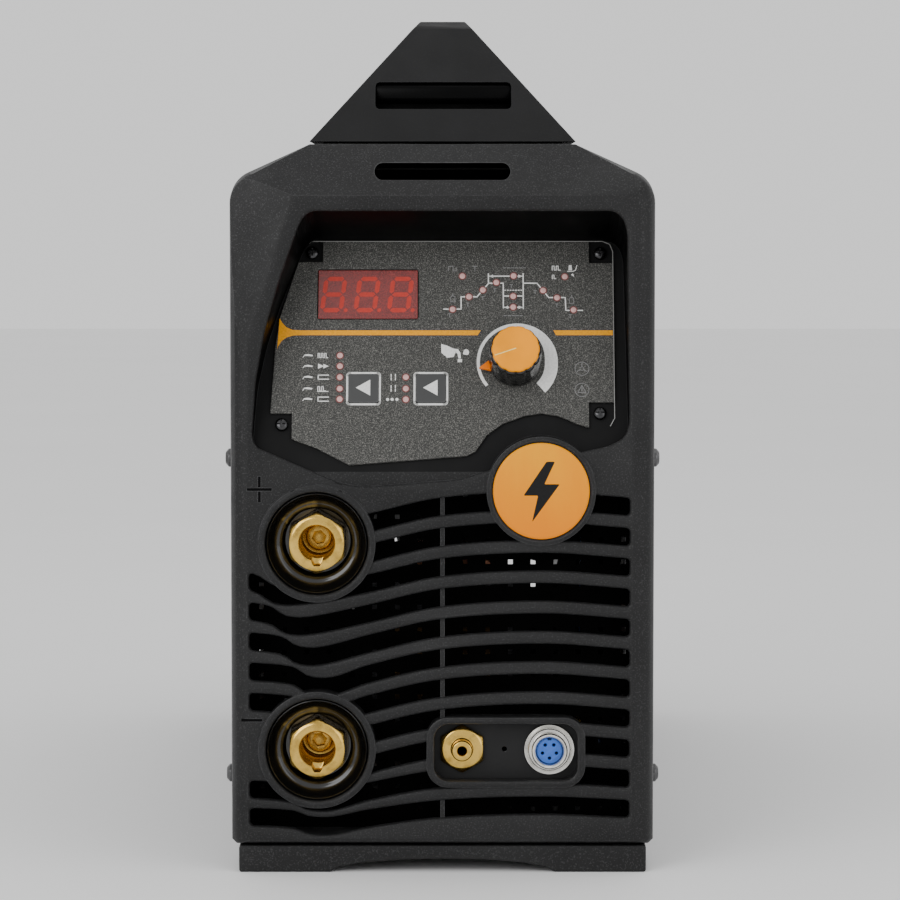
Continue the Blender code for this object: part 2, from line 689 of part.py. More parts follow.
def make_knob(finish, panel):
    """The encoder and its knob, all about one axis square to the panel."""
    place = (KNOB_U, 0.0, KNOB_V)
    shell = [(4.9, 2.6), (8.6, 2.6), (8.6, BOARD_FRONT - GAP), (4.9, BOARD_FRONT - GAP)]
    piece("encoder_body", turned_ring(shell, 16), finish["zinc_steel"], at=place, parent=panel)
    plunger = turned([(4.5, 6.8), (4.5, 7.9)], 16)
    piece("encoder_plunger", plunger, finish["nickel"], at=place, parent=panel)
    piece("encoder_shaft", turned([(3.0, -12.0), (3.0, 6.5)], 16), finish["nickel"], at=place, parent=panel)
    body = [(9.1, -15.0), (9.5, -14.2), (9.9, -2.0), (9.9, -1.1), (3.3, -1.1), (3.3, -12.6)]
    piece("control_knob", turned(body, 24), finish["gloss_black"], at=place, parent=panel)
    cap = turned([(8.4, -17.0), (8.9, -16.5), (8.9, -15.3)], 24)
    piece("knob_cap", cap, finish["orange_plastic"], at=place, parent=panel)


# ---------------------------------------------------------------- front fittings

def make_welding_socket(finish, label, spot):
    """Insulator, brass contact and its screw, on one axis along Y."""
    at = (spot[0], 0.0, spot[1])
    ring = [(12.4, -211.0), (14.5, -210.6), (16.8, -211.4), (18.9, -213.0), (18.9, -203.0), (16.4, -203.0)]
    ring += [(16.4, -186.0), (9.7, -186.0), (9.7, -199.7), (12.4, -199.7)]
    piece("socket_" + label + "_insulator", turned_ring(ring, 28), finish["gloss_black"], at=at)

    hexagon = 10.25 / math.cos(math.radians(30.0))
    start = math.radians(90.0)
    rings = []
    for radius, y, sides in ((9.3, -213.0, 24), (10.6, -212.2, 24)):
        rings.append([(x, y, z) for x, z in circle(radius, sides, start=start)])
    for y in (-211.6, -200.0):
        rings.append([(x, y, z) for x, z in hexagon_points(hexagon, 4, start)])
    for radius, y in ((9.4, -200.0), (9.4, -178.5)):
        rings.append([(x, y, z) for x, z in circle(radius, 24, start=start)])
    contact = piece("socket_" + label + "_contact", skin(rings), finish["brass"], at=at)
    key = [(-1.6, -4.0), (1.6, -4.0), (0.9, -8.3), (-0.9, -8.3)]
    bore = cutter("socket_" + label + "_bore", turned([(6.5, -216.0), (6.5, SOCKET_FLOOR_Y)], 24))
    bore.location = Vector(at) * MM
    keyway = cutter("socket_" + label + "_keyway", prism_y(key[::-1], -216.0, -196.0))
    keyway.location = Vector(at) * MM
    through = cutter("socket_" + label + "_through", turned([(3.3, SOCKET_FLOOR_Y - 2.0), (3.3, -175.0)], 16))
    through.location = Vector(at) * MM
    cut(contact, bore, keyway, through)

    head = SOCKET_FLOOR_Y - GAP
    screw = [(4.4, head - 4.7), (5.0, head - 4.2), (5.0, head), (3.0, head), (3.0, -170.0)]
    made = piece("socket_" + label + "_screw", turned(screw, 20), finish["brass"], at=at)
    drive = cutter("socket_" + label + "_drive", turned([(2.6, head - 5.7), (2.6, head - 1.9)], 6))
    drive.location = Vector(at) * MM
    cut(made, drive)


def hexagon_points(corner_radius, per_side, start):
    """A hexagon with extra points along its sides, so that it can be skinned to a circle."""
    corners = circle(corner_radius, 6, start=start)
    points = []
    for i in range(6):
        a = Vector(corners[i])
        b = Vector(corners[(i + 1) % 6])
        points += [tuple(a.lerp(b, k / per_side)) for k in range(per_side)]
    return points


def make_bus_bar(finish, name, spot):
    """A copper angle from the back of a welding socket towards the power stage."""
    low = spot[1] - 10.0
    high = spot[1] + 14.0
    front = -178.2
    outline = [(front, low), (front + 3.0, low), (front + 3.0, high - 3.0), (-138.0, high - 3.0)]
    outline += [(-138.0, high), (front, high)]
    bar = piece(name, prism_x(outline, spot[0] - 8.0, spot[0] + 8.0), finish)
    hole = cutter(name + "_hole", turned([(3.4, -185.0), (3.4, -170.0)], 16, spot))
    cut(bar, hole)


def make_front_fittings(finish):
    """Badge, connector plate, gas outlet and torch control socket."""
    disc = turned([(17.4, -214.9), (18.0, -214.5), (18.0, -213.6)], 32, BADGE)
    piece("badge_disc", disc, finish["orange_plastic"])

    plate_outline = rounded_box_outline(PILL_CENTRE, PILL_HALF, 8.0, 5)
    plate = piece("connector_plate", prism_y(plate_outline, PLATE_Y, PLATE_Y + 2.0), finish["coated_steel"])
    holes = merged(
        turned([(6.8, -210.0), (6.8, -200.0)], 20, GAS_OUTLET),
        turned([(7.7, -210.0), (7.7, -200.0)], 24, TORCH_SOCKET),
        turned([(1.0, -210.0), (1.0, -200.0)], 8, (23.2, 45.6)),
    )
    cut(plate, cutter("connector_plate_holes", holes))

    at = (GAS_OUTLET[0], 0.0, GAS_OUTLET[1])
    start = math.radians(90.0)
    hexagon = 8.0 / math.cos(math.radians(30.0))
    nipple = ((3.6, -214.6), (4.0, -214.2), (4.0, HEX_FACE_Y), (7.4, HEX_FACE_Y))
    rings = [[(x, y, z) for x, z in circle(r, 24, start=start)] for r, y in nipple]
    rings += [[(x, y, z) for x, z in hexagon_points(hexagon, 4, start)] for y in (HEX_FACE_Y + 0.8, PLATE_Y - GAP)]
    tail = ((6.4, PLATE_Y - GAP), (6.4, -199.0), (3.2, -199.0), (3.2, -186.0))
    rings += [[(x, y, z) for x, z in circle(r, 24, start=start)] for r, y in tail]
    outlet = piece("gas_outlet_fitting", skin(rings), finish["brass"], at=at)
    way = cutter("gas_outlet_way", turned([(1.6, -216.0), (1.6, -180.0)], 12))
    way.location = Vector(at) * MM
    cut(outlet, way)

    at = (TORCH_SOCKET[0], 0.0, TORCH_SOCKET[1])
    shell = [(5.2, -213.4), (6.4, -213.4), (6.8, -212.9), (6.8, FLANGE_Y), (8.0, FLANGE_Y), (9.4, FLANGE_Y + 0.6)]
    shell.append((9.4, PLATE_Y - GAP))
    shell += [(7.4, PLATE_Y - GAP), (7.4, -194.0), (5.2, -194.0)]
    piece("torch_socket_shell", turned_ring(shell, 20), finish["nickel"], at=at)
    insert = turned([(4.9, -211.8), (4.9, -192.0)], 20)
    piece("torch_socket_insert", insert, finish["insert_blue"], at=at)


def make_louvre_screen(finish):
    """A perforated sheet behind the louvres, open round each fitting."""
    sheet = box((-SCREEN_HALF, SCREEN_Y, SCREEN_BOTTOM), (SCREEN_HALF, SCREEN_Y + 1.0, SCREEN_TOP))
    screen = piece("louvre_screen", sheet, finish)
    rounds = [(PLUS, 17.2), (MINUS, 17.2), (TORCH_SOCKET, 8.2), (GAS_OUTLET, 7.2)]
    holes = [turned([(radius, SCREEN_Y - 1.0), (radius, SCREEN_Y + 2.0)], 24, spot) for spot, radius in rounds]
    half = SCREEN_HOLE / 2.0
    for column in range(SCREEN_COLUMNS):
        x = SCREEN_PITCH * (column - (SCREEN_COLUMNS - 1) / 2.0)
        for row in range(SCREEN_ROWS):
            z = SCREEN_FIRST_Z + SCREEN_PITCH * row
            if all(math.hypot(x - spot[0], z - spot[1]) > radius + SCREEN_HOLE for spot, radius in rounds):
                holes.append(box((x - half, SCREEN_Y - 1.0, z - half), (x + half, SCREEN_Y + 2.0, z + half)))
    cut(screen, cutter("screen_holes", merged(*holes)))


# ---------------------------------------------------------------- rear fittings

def make_fan(finish):
    """Fan frame with its motor plate, rotor and guard, all about one axis along Y."""
    at = (0.0, 0.0, FAN_Z)
    back = REAR_PANEL_Y - GAP
    frame_outline = rounded_box_outline((0.0, 0.0), (FAN_HALF, FAN_HALF), 5.0, 3)
    frame = piece("fan_housing", prism_y(frame_outline, FAN_FRONT_Y, back), finish["fan_plastic"], at=at)
    tunnel = cutter("fan_tunnel", turned([(FAN_BORE, FAN_FRONT_Y - 5.0), (FAN_BORE, back + 5.0)], 36))
    tunnel.location = Vector(at) * MM
    cut(frame, tunnel)
    struts = []
    for angle in (45.0, 135.0, 225.0, 315.0):
        strut = box((10.0, FAN_FRONT_Y + 0.2, -2.5), (FAN_BORE + 1.5, FAN_FRONT_Y + 4.2, 2.5))
        bmesh.ops.rotate(strut, verts=strut.verts, matrix=Matrix.Rotation(math.radians(angle), 3, "Y"))
        struts.append(strut)
    strut_tool = cutter("fan_struts", merged(*struts))
    motor_tool = cutter("fan_motor", turned([(20.0, FAN_FRONT_Y + 0.1), (20.0, FAN_FRONT_Y + 6.0)], 24))
    for tool in (strut_tool, motor_tool):
        tool.location = Vector(at) * MM
        join(frame, tool)

    hub_front = FAN_FRONT_Y + 7.0
    hub_back = back - 4.0
    hub = turned([(21.0, hub_front), (21.0, hub_back - 2.0), (19.0, hub_back)], 28)
    rotor = piece("fan_rotor", hub, finish["fan_plastic"], at=at)
    blades = []
    for i in range(7):
        blade = fan_blade(hub_front + 3.0, hub_back - 6.0)
        turn = Matrix.Rotation(2.0 * math.pi * i / 7.0, 3, "Y")
        bmesh.ops.rotate(blade, verts=blade.verts, matrix=turn)
        blades.append(blade)
    blade_tool = cutter("fan_blades", merged(*blades))
    blade_tool.location = Vector(at) * MM
    join(rotor, blade_tool)

    guard_y = REAR_PANEL_Y + 1.5 + GAP
    guard = [(54.5, guard_y), (57.5, guard_y), (57.5, guard_y + 2.4), (54.5, guard_y + 2.4)]
    item = piece("fan_guard", turned_ring(guard, 24), finish["zinc_steel"], at=at)
    pieces = []
    for radius in (44.0, 33.0, 22.0):
        section = [(radius - 1.1, guard_y + 1.2), (radius + 1.1, guard_y + 1.2)]
        section += [(radius + 1.1, guard_y + 3.4), (radius - 1.1, guard_y + 3.4)]
        pieces.append(turned_ring(section, 20))
    guard_rings = cutter("guard_rings", merged(*pieces))
    guard_rings.location = Vector(at) * MM
    bars = [box((-56.0, guard_y + 0.2, -1.3), (56.0, guard_y + 2.6, 1.3))]
    upright = box((-1.3, guard_y + 0.2, -56.0), (1.3, guard_y + 2.6, 56.0))
    cross_a = cutter("guard_bar", bars[0])
    cross_b = cutter("guard_upright", upright)
    for tool in (cross_a, cross_b):
        tool.location = Vector(at) * MM
    join(item, cross_a, cross_b, guard_rings)


def fan_blade(y_low, y_high):
    """One pitched blade, from inside the hub to near the tunnel's wall."""
    rings = []
    for radius, half_angle in ((17.0, 0.34), (54.0, 0.27)):
        ring = []
        for angle, y in ((-half_angle, y_low), (half_angle, y_high)):
            for thick in (-0.9, 0.9):
                ring.append((radius * math.cos(angle), y + thick, radius * math.sin(angle)))
        rings.append([ring[0], ring[1], ring[3], ring[2]])
    blade = skin(rings)
    bmesh.ops.triangulate(blade, faces=blade.faces)
    return blade


def make_switch(finish):
    """A panel-mounted mains rocker. It rests tipped to off."""
    outer_y = REAR_PANEL_Y + 1.5 + GAP
    flange = rounded_box_outline(SWITCH, (13.4, 17.4), 1.6, 3)
    body = rounded_box_outline(SWITCH, (11.1, 15.1), 0.8, 3)
    rings = [(flange, outer_y + 2.4), (flange, outer_y), (body, outer_y), (body, outer_y - 24.0)]
    mesh = skin([[(x, y, z) for x, z in outline] for outline, y in rings])
    holder = piece("switch_body", mesh, finish["gloss_black"])
    well = rounded_box_outline(SWITCH, (9.3, 13.3), 0.6, 2)
    cut(holder, cutter("switch_well", prism_y(well, outer_y - 14.0, outer_y + 5.0)))

    rocker = [(-12.2, 3.2), (-11.8, 5.4), (0.0, 3.6), (11.8, 5.4), (12.2, 3.2), (7.0, -4.0), (-7.0, -4.0)]
    outline = [(y, z) for z, y in rocker]
    pivot = (SWITCH[0], outer_y + 0.5, SWITCH[1])
    tipped = math.radians(-7.0)
    piece("switch_rocker", prism_x(outline, -8.7, 8.7), finish["gloss_black"], at=pivot, tilt=tipped)


def make_rear_fittings(finish):
    """Mains cable gland and gas inlet."""
    outer_y = REAR_PANEL_Y + 1.5 + GAP
    at = (GLAND[0], 0.0, GLAND[1])
    body = [(5.2, outer_y + 3.6), (5.2, outer_y - 14.0), (9.7, outer_y - 14.0), (9.7, outer_y)]
    body += [(13.0, outer_y), (13.0, outer_y + 3.6)]
    piece("cable_gland_body", turned_ring(body, 24), finish["case_plastic"], at=at)
    cap_y = outer_y + 3.6 + GAP
    cap = [(5.2, cap_y + 11.0), (5.2, cap_y), (12.4, cap_y), (12.4, cap_y + 6.5), (9.0, cap_y + 11.0)]
    piece("cable_gland_cap", turned_ring(cap, 24), finish["case_plastic"], at=at)

    at = (GAS_INLET[0], 0.0, GAS_INLET[1])
    profile = [
        (1.8, outer_y + 14.0), (3.6, outer_y + 14.0), (4.3, outer_y + 11.5), (3.7, outer_y + 11.3),
        (4.3, outer_y + 8.5), (3.7, outer_y + 8.3), (3.7, outer_y + 5.0), (8.0, outer_y + 4.6),
        (8.0, outer_y), (5.0, outer_y), (5.0, outer_y - 10.0), (3.2, outer_y - 10.0),
        (3.2, outer_y - 20.0), (1.8, outer_y - 20.0),
    ]
    piece("gas_inlet_fitting", turned_ring(profile[::-1], 12), finish["brass"], at=at)


# ---------------------------------------------------------------- inside

def make_power_stage(finish):
    """Main board, heatsinks, transformer, ignition coil and capacitors."""
    piece("power_board", box((-68.0, -120.0, 152.0), (68.0, 125.0, 153.6)), finish["board_green"])
    for name, sign in (("heatsink_left", -1), ("heatsink_right", 1)):
        piece(name, prism_y(heatsink_section(), -60.0, 125.0), finish["heatsink_aluminium"], at=(sign * 35.0, 0, 0))

    core = piece("transformer_core", box((-36.0, -17.0, 26.0), (36.0, 17.0, 90.0)), finish["ferrite"], at=(0, -20, 0))
    windows = merged(box((-24.0, -20.0, 38.0), (-10.0, 20.0, 78.0)), box((10.0, -20.0, 38.0), (24.0, 20.0, 78.0)))
    window_tool = cutter("core_windows", windows)
    window_tool.location = Vector((0, -20, 0)) * MM
    cut(core, window_tool)
    ring = [(10.6, 17.6), (-10.6, 17.6), (-10.6, -17.6), (10.6, -17.6)]
    wide = [(23.4, 29.0), (-23.4, 29.0), (-23.4, -29.0), (23.4, -29.0)]
    levels = [(ring, 38.6), (wide, 38.6), (wide, 77.4), (ring, 77.4)]
    winding = skin([[(x, y, z) for x, y in outline] for outline, z in levels], closed=True)
    piece("transformer_winding", winding, finish["winding_tape"], at=(0, -20, 0))

    coil = [(26.0 + x, y) for x, y in circle(10.0, 8)]
    piece("ignition_coil", turned_ring(coil, 16), finish["copper"], at=(0.0, 95.0, 62.0))
    rings = [[(x, y, z) for x, y in circle(17.5, 24)] for z in (154.0, 199.0)]
    piece("bus_capacitor", skin(rings), finish["capacitor_sleeve"], at=(-30.0, -45.0, 0.0))


def heatsink_section():
    """A finned section: a thick top plate with fins that hang down."""
    top = 151.6
    root = 145.0
    fins = 8
    half = 31.0
    pitch = 2.0 * half / (fins - 0.5)
    outline = [(half, top), (-half, top)]
    for i in range(fins):
        left = -half + i * pitch
        right = left + 2.4
        outline += [(left, 112.0), (right, 112.0)]
        if i < fins - 1:
            outline += [(right, root), (left + pitch, root)]
    outline[-1] = (half, 112.0)
    outline[-2] = (half - 2.4, 112.0)
    outline[-3] = (half - 2.4, root)
    return outline


def make_gas_valve(finish):
    """Solenoid valve near the front, with its plunger, and the two gas hoses."""
    piece("valve_body", box((-13.0, -13.0, -12.0), (13.0, 13.0, 12.0)), finish["brass"], at=(44.0, -135.0, 40.0))
    coil = [[(x, y, z) for x, y in circle(13.0, 20)] for z in (12.4, 40.0)]
    solenoid = piece("valve_coil", skin(coil), finish["gloss_black"], at=(44.0, -135.0, 40.0))
    bore = [[(x, y, z) for x, y in circle(5.0, 16)] for z in (8.0, 36.0)]
    bore_tool = cutter("valve_coil_bore", skin(bore))
    bore_tool.location = Vector((44.0, -135.0, 40.0)) * MM
    cut(solenoid, bore_tool)
    plunger = [[(x, y, z) for x, y in circle(4.6, 16)] for z in (12.6, 33.0)]
    piece("valve_plunger", skin(plunger), finish["zinc_steel"], at=(44.0, -135.0, 40.0))

    inlet_y = REAR_PANEL_Y + 1.5 + GAP - 20.0 - GAP
    make_hose("gas_hose_inlet", finish["hose"], [
        (GAS_INLET[0], inlet_y, GAS_INLET[1]), (54.0, 165.0, 173.0), (66.5, 146.0, 168.0), (68.0, 141.0, 130.0),
        (68.0, 140.0, 80.0), (67.0, 134.0, 42.0), (64.5, 110.0, 26.0), (64.0, 0.0, 25.0), (62.0, -90.0, 27.0),
        (51.0, -106.0, 35.0), (44.4, -116.0, 39.6), (44.0, -121.5, 40.0),
    ])
    make_hose("gas_hose_outlet", finish["hose"], [
        (GAS_OUTLET[0], -185.6, GAS_OUTLET[1]), (9.0, -178.0, 45.6), (20.0, -162.0, 44.0),
        (35.0, -158.0, 41.6), (43.2, -153.0, 40.2), (44.0, -148.5, 40.0),
    ])


def make_hose(name, finish, route):
    """A gas hose along a smooth route, inside the case."""
    curve = bpy.data.curves.new(name, "CURVE")
    curve.dimensions = "3D"
    curve.bevel_depth = 3.6 * MM
    curve.bevel_resolution = 2
    curve.use_fill_caps = True
    points = smooth_points(route, 3)
    spline = curve.splines.new("POLY")
    spline.points.add(len(points) - 1)
    for spot, point in zip(spline.points, points):
        spot.co = (*(Vector(point) * MM), 1.0)
    item = bpy.data.objects.new(name, curve)
    item.data.materials.append(finish)
    bpy.context.scene.collection.objects.link(item)


# ---------------------------------------------------------------- machine

def build():
    """Make every piece."""
    clear_scene()
    finish = make_finishes()
    panel = empty("panel_datum", (0.0, PANEL_Y, PANEL_Z), -PANEL_LEAN)
    bpy.context.view_layer.update()

    make_front_bezel(finish["case_plastic"], panel)
    make_side_screws(finish["blackened_steel"])
    make_rear_bezel(finish["case_plastic"])
    make_cover(finish["coated_steel"])
    make_chassis(finish["coated_steel"])
    make_feet(finish["case_plastic"])
    make_handle(finish["case_plastic"])

    make_panel(finish, panel)
    make_knob(finish, panel)

    for label, spot in (("plus", PLUS), ("minus", MINUS)):
        make_welding_socket(finish, label, spot)
        make_bus_bar(finish["copper"], "bus_bar_" + label, spot)
    make_front_fittings(finish)
    make_louvre_screen(finish["coated_steel"])

    make_fan(finish)
    make_switch(finish)
    make_rear_fittings(finish)
    make_power_stage(finish)
    make_gas_valve(finish)


build()
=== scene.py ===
"""Looks of the TIG welding machine: refined shells, printed panel, fittings and materials,
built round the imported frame. Lengths in the tables below are millimetres."""

import json
import math

import bmesh
import bpy
from mathutils import Matrix, Vector


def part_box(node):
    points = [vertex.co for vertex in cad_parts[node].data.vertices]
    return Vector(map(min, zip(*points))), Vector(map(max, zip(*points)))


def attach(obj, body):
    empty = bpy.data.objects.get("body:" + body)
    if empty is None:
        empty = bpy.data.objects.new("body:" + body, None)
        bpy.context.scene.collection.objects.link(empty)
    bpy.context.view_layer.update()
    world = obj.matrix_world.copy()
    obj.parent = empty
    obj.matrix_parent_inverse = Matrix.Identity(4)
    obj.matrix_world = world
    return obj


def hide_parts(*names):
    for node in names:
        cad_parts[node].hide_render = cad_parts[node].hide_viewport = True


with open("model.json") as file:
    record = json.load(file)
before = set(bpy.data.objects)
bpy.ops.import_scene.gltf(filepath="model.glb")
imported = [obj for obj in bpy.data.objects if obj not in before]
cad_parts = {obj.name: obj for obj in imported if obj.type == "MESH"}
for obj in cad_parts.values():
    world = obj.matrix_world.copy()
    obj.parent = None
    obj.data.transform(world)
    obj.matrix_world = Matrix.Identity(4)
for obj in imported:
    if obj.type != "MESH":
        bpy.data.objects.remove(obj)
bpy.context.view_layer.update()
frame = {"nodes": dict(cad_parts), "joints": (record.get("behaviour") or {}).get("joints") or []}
NODES = frame["nodes"]
MM = 0.001


# ---------------------------------------------------------------- places, read from the frame

def centre(node):
    """The middle of a node's box, in millimetres."""
    low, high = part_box(node)
    return (low + high) * 0.5 / MM


def low_mm(node):
    """The lowest corner of a node's box, in millimetres."""
    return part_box(node)[0] / MM


def high_mm(node):
    """The highest corner of a node's box, in millimetres."""
    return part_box(node)[1] / MM


def joint(name):
    """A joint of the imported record."""
    return next(j for j in frame["joints"] if j["name"] == name)


INWARD = Vector(joint("knob_turn")["axis"])
UPWARD = Vector((0.0, -INWARD.z, INWARD.y))
KNOB_U, KNOB_V = 27.1, 39.9
PANEL_ORIGIN = Vector(joint("knob_turn")["pos_m"]) / MM - Vector((KNOB_U, 0, 0)) - UPWARD * KNOB_V
PANEL = Matrix((
    (1.0, 0.0, 0.0, PANEL_ORIGIN.x * MM),
    (0.0, INWARD.y, UPWARD.y, PANEL_ORIGIN.y * MM),
    (0.0, INWARD.z, UPWARD.z, PANEL_ORIGIN.z * MM),
    (0.0, 0.0, 0.0, 1.0),
))

CASE_LOW = low_mm("front_bezel")
CASE_HIGH = high_mm("front_bezel")
HALF_WIDTH = CASE_HIGH.x
FACE_Y = -CASE_LOW.y - 1.0
RIM_Y = -CASE_LOW.y
SKIRT_Y = -CASE_HIGH.y
CASE_BOTTOM = CASE_LOW.z
CASE_TOP = CASE_HIGH.z
CREASE_Z = CASE_TOP - 19.1
TOP_HALF = 49.5
LEAN_DEPTH = 14.0
EDGE = 6.6
WALL = 2.6
FRONT_WALL = 3.0
PLUS = (centre("socket_plus_contact").x, centre("socket_plus_contact").z)
MINUS = (centre("socket_minus_contact").x, centre("socket_minus_contact").z)
BADGE = (centre("badge_disc").x, centre("badge_disc").z)
GAS_OUTLET = (centre("gas_outlet_fitting").x, centre("gas_outlet_fitting").z)
TORCH_SOCKET = (centre("torch_socket_shell").x, centre("torch_socket_shell").z)
SOCKET_RING = 22.0
SOCKET_BORE = 19.2
BADGE_RING = 20.4
PILL_CENTRE = (centre("connector_plate").x, centre("connector_plate").z)
PILL_HALF = (29.65, 13.2)
PLATE_FRONT = low_mm("connector_plate").y
OUTLET_FACE = -209.2
FLANGE_FACE = -208.8
HEXAGON_START = math.radians(90.0)
CONTACT_HALF_FLATS = 10.25
OUTLET_HALF_FLATS = 8.0
FLOOR = 1.5
FLOOR_BACK = 3.7

PANEL_SCREWS = {
    "top_left": (-49.2, 83.4), "top_right": (59.5, 83.2),
    "bottom_left": (-60.0, 15.7), "bottom_right": (58.8, 20.1),
}

SLOT_COUNT = 11
SLOT_PITCH = 11.33
SLOT_HEIGHT = 6.6
FIRST_SLOT_Z = 133.9
SLOT_LEFT = -72.0
SLOT_RIGHT = 69.7


# ---------------------------------------------------------------- mesh helpers

def skin(rings, closed=False):
    """A body through rings of equal length, capped unless it closes on itself."""
    mesh = bmesh.new()
    loops = [[mesh.verts.new(point) for point in ring] for ring in rings]
    pairs = list(zip(loops, loops[1:]))
    if closed:
        pairs.append((loops[-1], loops[0]))
    else:
        mesh.faces.new(loops[0])
        mesh.faces.new(loops[-1])
    for lower, upper in pairs:
        for i in range(len(lower)):
            j = (i + 1) % len(lower)
            mesh.faces.new((lower[i], lower[j], upper[j], upper[i]))
    bmesh.ops.recalc_face_normals(mesh, faces=mesh.faces)
    return mesh


def prism_y(outline, y_low, y_high):
    """An outline in XZ, extruded along Y."""
    return skin([[(x, y, z) for x, z in outline] for y in (y_low, y_high)])


def prism_x(outline, x_low, x_high):
    """An outline in YZ, extruded along X."""
    return skin([[(x, y, z) for y, z in outline] for x in (x_low, x_high)])


def box(low, high):
    """A block from its lowest to its highest corner."""
    (x0, y0, z0), (x1, y1, z1) = low, high
    return prism_y([(x0, z0), (x1, z0), (x1, z1), (x0, z1)], y0, y1)


def circle(radius, count, middle=(0.0, 0.0), start=0.0):
    """Points of a circle, as an outline."""
    step = 2.0 * math.pi / count
    return [
        (middle[0] + radius * math.cos(start + i * step), middle[1] + radius * math.sin(start + i * step))
        for i in range(count)
    ]


def arc(middle, radius, start_deg, end_deg, count):
    """Points of an arc, both ends included."""
    angles = [math.radians(start_deg + (end_deg - start_deg) * i / (count - 1)) for i in range(count)]
    return [(middle[0] + radius * math.cos(a), middle[1] + radius * math.sin(a)) for a in angles]


def rounded_box(middle, half, radius, count=6):
    """A rectangle with round corners, as an outline."""
    points = []
    for sx, sz, start in ((1, 1, 0), (-1, 1, 90), (-1, -1, 180), (1, -1, 270)):
        corner = (middle[0] + sx * (half[0] - radius), middle[1] + sz * (half[1] - radius))
        points += arc(corner, radius, start, start + 90, count)
    return points


def ring_at(radius, y, count, middle=(0.0, 0.0), start=0.0):
    """A ring of points about an axis along Y."""
    return [(x, y, z) for x, z in circle(radius, count, middle, start)]


def turned(profile, count, middle=(0.0, 0.0)):
    """A solid turned about an axis along Y, from (radius, y) pairs."""
    return skin([ring_at(radius, y, count, middle) for radius, y in profile])


def turned_ring(profile, count, middle=(0.0, 0.0)):
    """A ring turned about an axis along Y, from a closed section of (radius, y) pairs."""
    return skin([ring_at(radius, y, count, middle) for radius, y in profile], closed=True)


def merged(*meshes):
    """Several closed meshes in one."""
    whole = bmesh.new()
    for mesh in meshes:
        copy = bpy.data.meshes.new("merge")
        mesh.to_mesh(copy)
        whole.from_mesh(copy)
        bpy.data.meshes.remove(copy)
        mesh.free()
    return whole


def offset_outline(outline, distance):
    """Move each edge of a counter-clockwise outline outwards."""
    moved = []
    count = len(outline)
    for i in range(count):
        before, here, after = (Vector(outline[k % count]) for k in (i - 1, i, i + 1))
        into = (here - before).normalized()
        out = (after - here).normalized()
        normal_in = Vector((into.y, -into.x))
        normal_out = Vector((out.y, -out.x))
        bisector = (normal_in + normal_out).normalized()
        moved.append(tuple(here + bisector * (distance / max(bisector.dot(normal_in), 0.5))))
    return moved


def smooth_outline(points, radius, count=5):
    """Round each corner of a closed outline by up to a radius."""
    rounded = []
    total = len(points)
    for i in range(total):
        before, here, after = (Vector(points[k % total]) for k in (i - 1, i, i + 1))
        back = before - here
        ahead = after - here
        reach = min(radius, 0.45 * back.length, 0.45 * ahead.length)
        start = here + back.normalized() * reach
        end = here + ahead.normalized() * reach
        for k in range(count):
            t = k / (count - 1)
            spot = start * (1 - t) ** 2 + here * 2 * t * (1 - t) + end * t ** 2
            rounded.append(tuple(spot))
    return rounded


def new_object(name, mesh, finish=None, matrix=None):
    """Write a bmesh, in millimetres, to an object in metres."""
    bmesh.ops.scale(mesh, vec=(MM, MM, MM), verts=mesh.verts)
    data = bpy.data.meshes.new(name)
    mesh.to_mesh(data)
    mesh.free()
    item = bpy.data.objects.new(name, data)
    bpy.context.scene.collection.objects.link(item)
    if matrix is not None:
        item.matrix_world = matrix
    if finish is not None:
        data.materials.append(finish)
    return item


def boolean(item, operation, mesh, matrix=None):
    """Cut, join or intersect an object with a mesh, and apply it."""
    tool = new_object("tool", mesh, matrix=matrix)
    step = item.modifiers.new("cut", "BOOLEAN")
    step.operation = operation
    step.solver = "EXACT"
    step.object = tool
    bpy.context.view_layer.update()
    shaped = bpy.data.meshes.new_from_object(item.evaluated_get(bpy.context.evaluated_depsgraph_get()))
    item.modifiers.clear()
    old = item.data
    item.data = shaped
    bpy.data.meshes.remove(old)
    bpy.data.objects.remove(tool, do_unlink=True)


def soften(item, width, segments=2, angle=28.0, smooth=40.0):
    """Round an object's edges and shade it smooth."""
    if width:
        edge = item.modifiers.new("edges", "BEVEL")
        edge.width = width * MM
        edge.segments = segments
        edge.limit_method = "ANGLE"
        edge.angle_limit = math.radians(angle)
        edge.use_clamp_overlap = True
        edge.harden_normals = False
    item.data.shade_smooth()
    item.data.set_sharp_from_angle(angle=math.radians(smooth))
    bpy.context.view_layer.update()
    shaped = bpy.data.meshes.new_from_object(item.evaluated_get(bpy.context.evaluated_depsgraph_get()))
    item.modifiers.clear()
    item.data = shaped
    item.data.shade_smooth()
    item.data.set_sharp_from_angle(angle=math.radians(smooth))
    return item


def piece(name, item, body, slot, *nodes):
    """Name an object, ride it on a body, and let it stand for CAD nodes."""
    item.name = name
    item.data.name = name
    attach(item, body)
    if nodes:
        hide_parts(*nodes)
    return item


# ---------------------------------------------------------------- materials

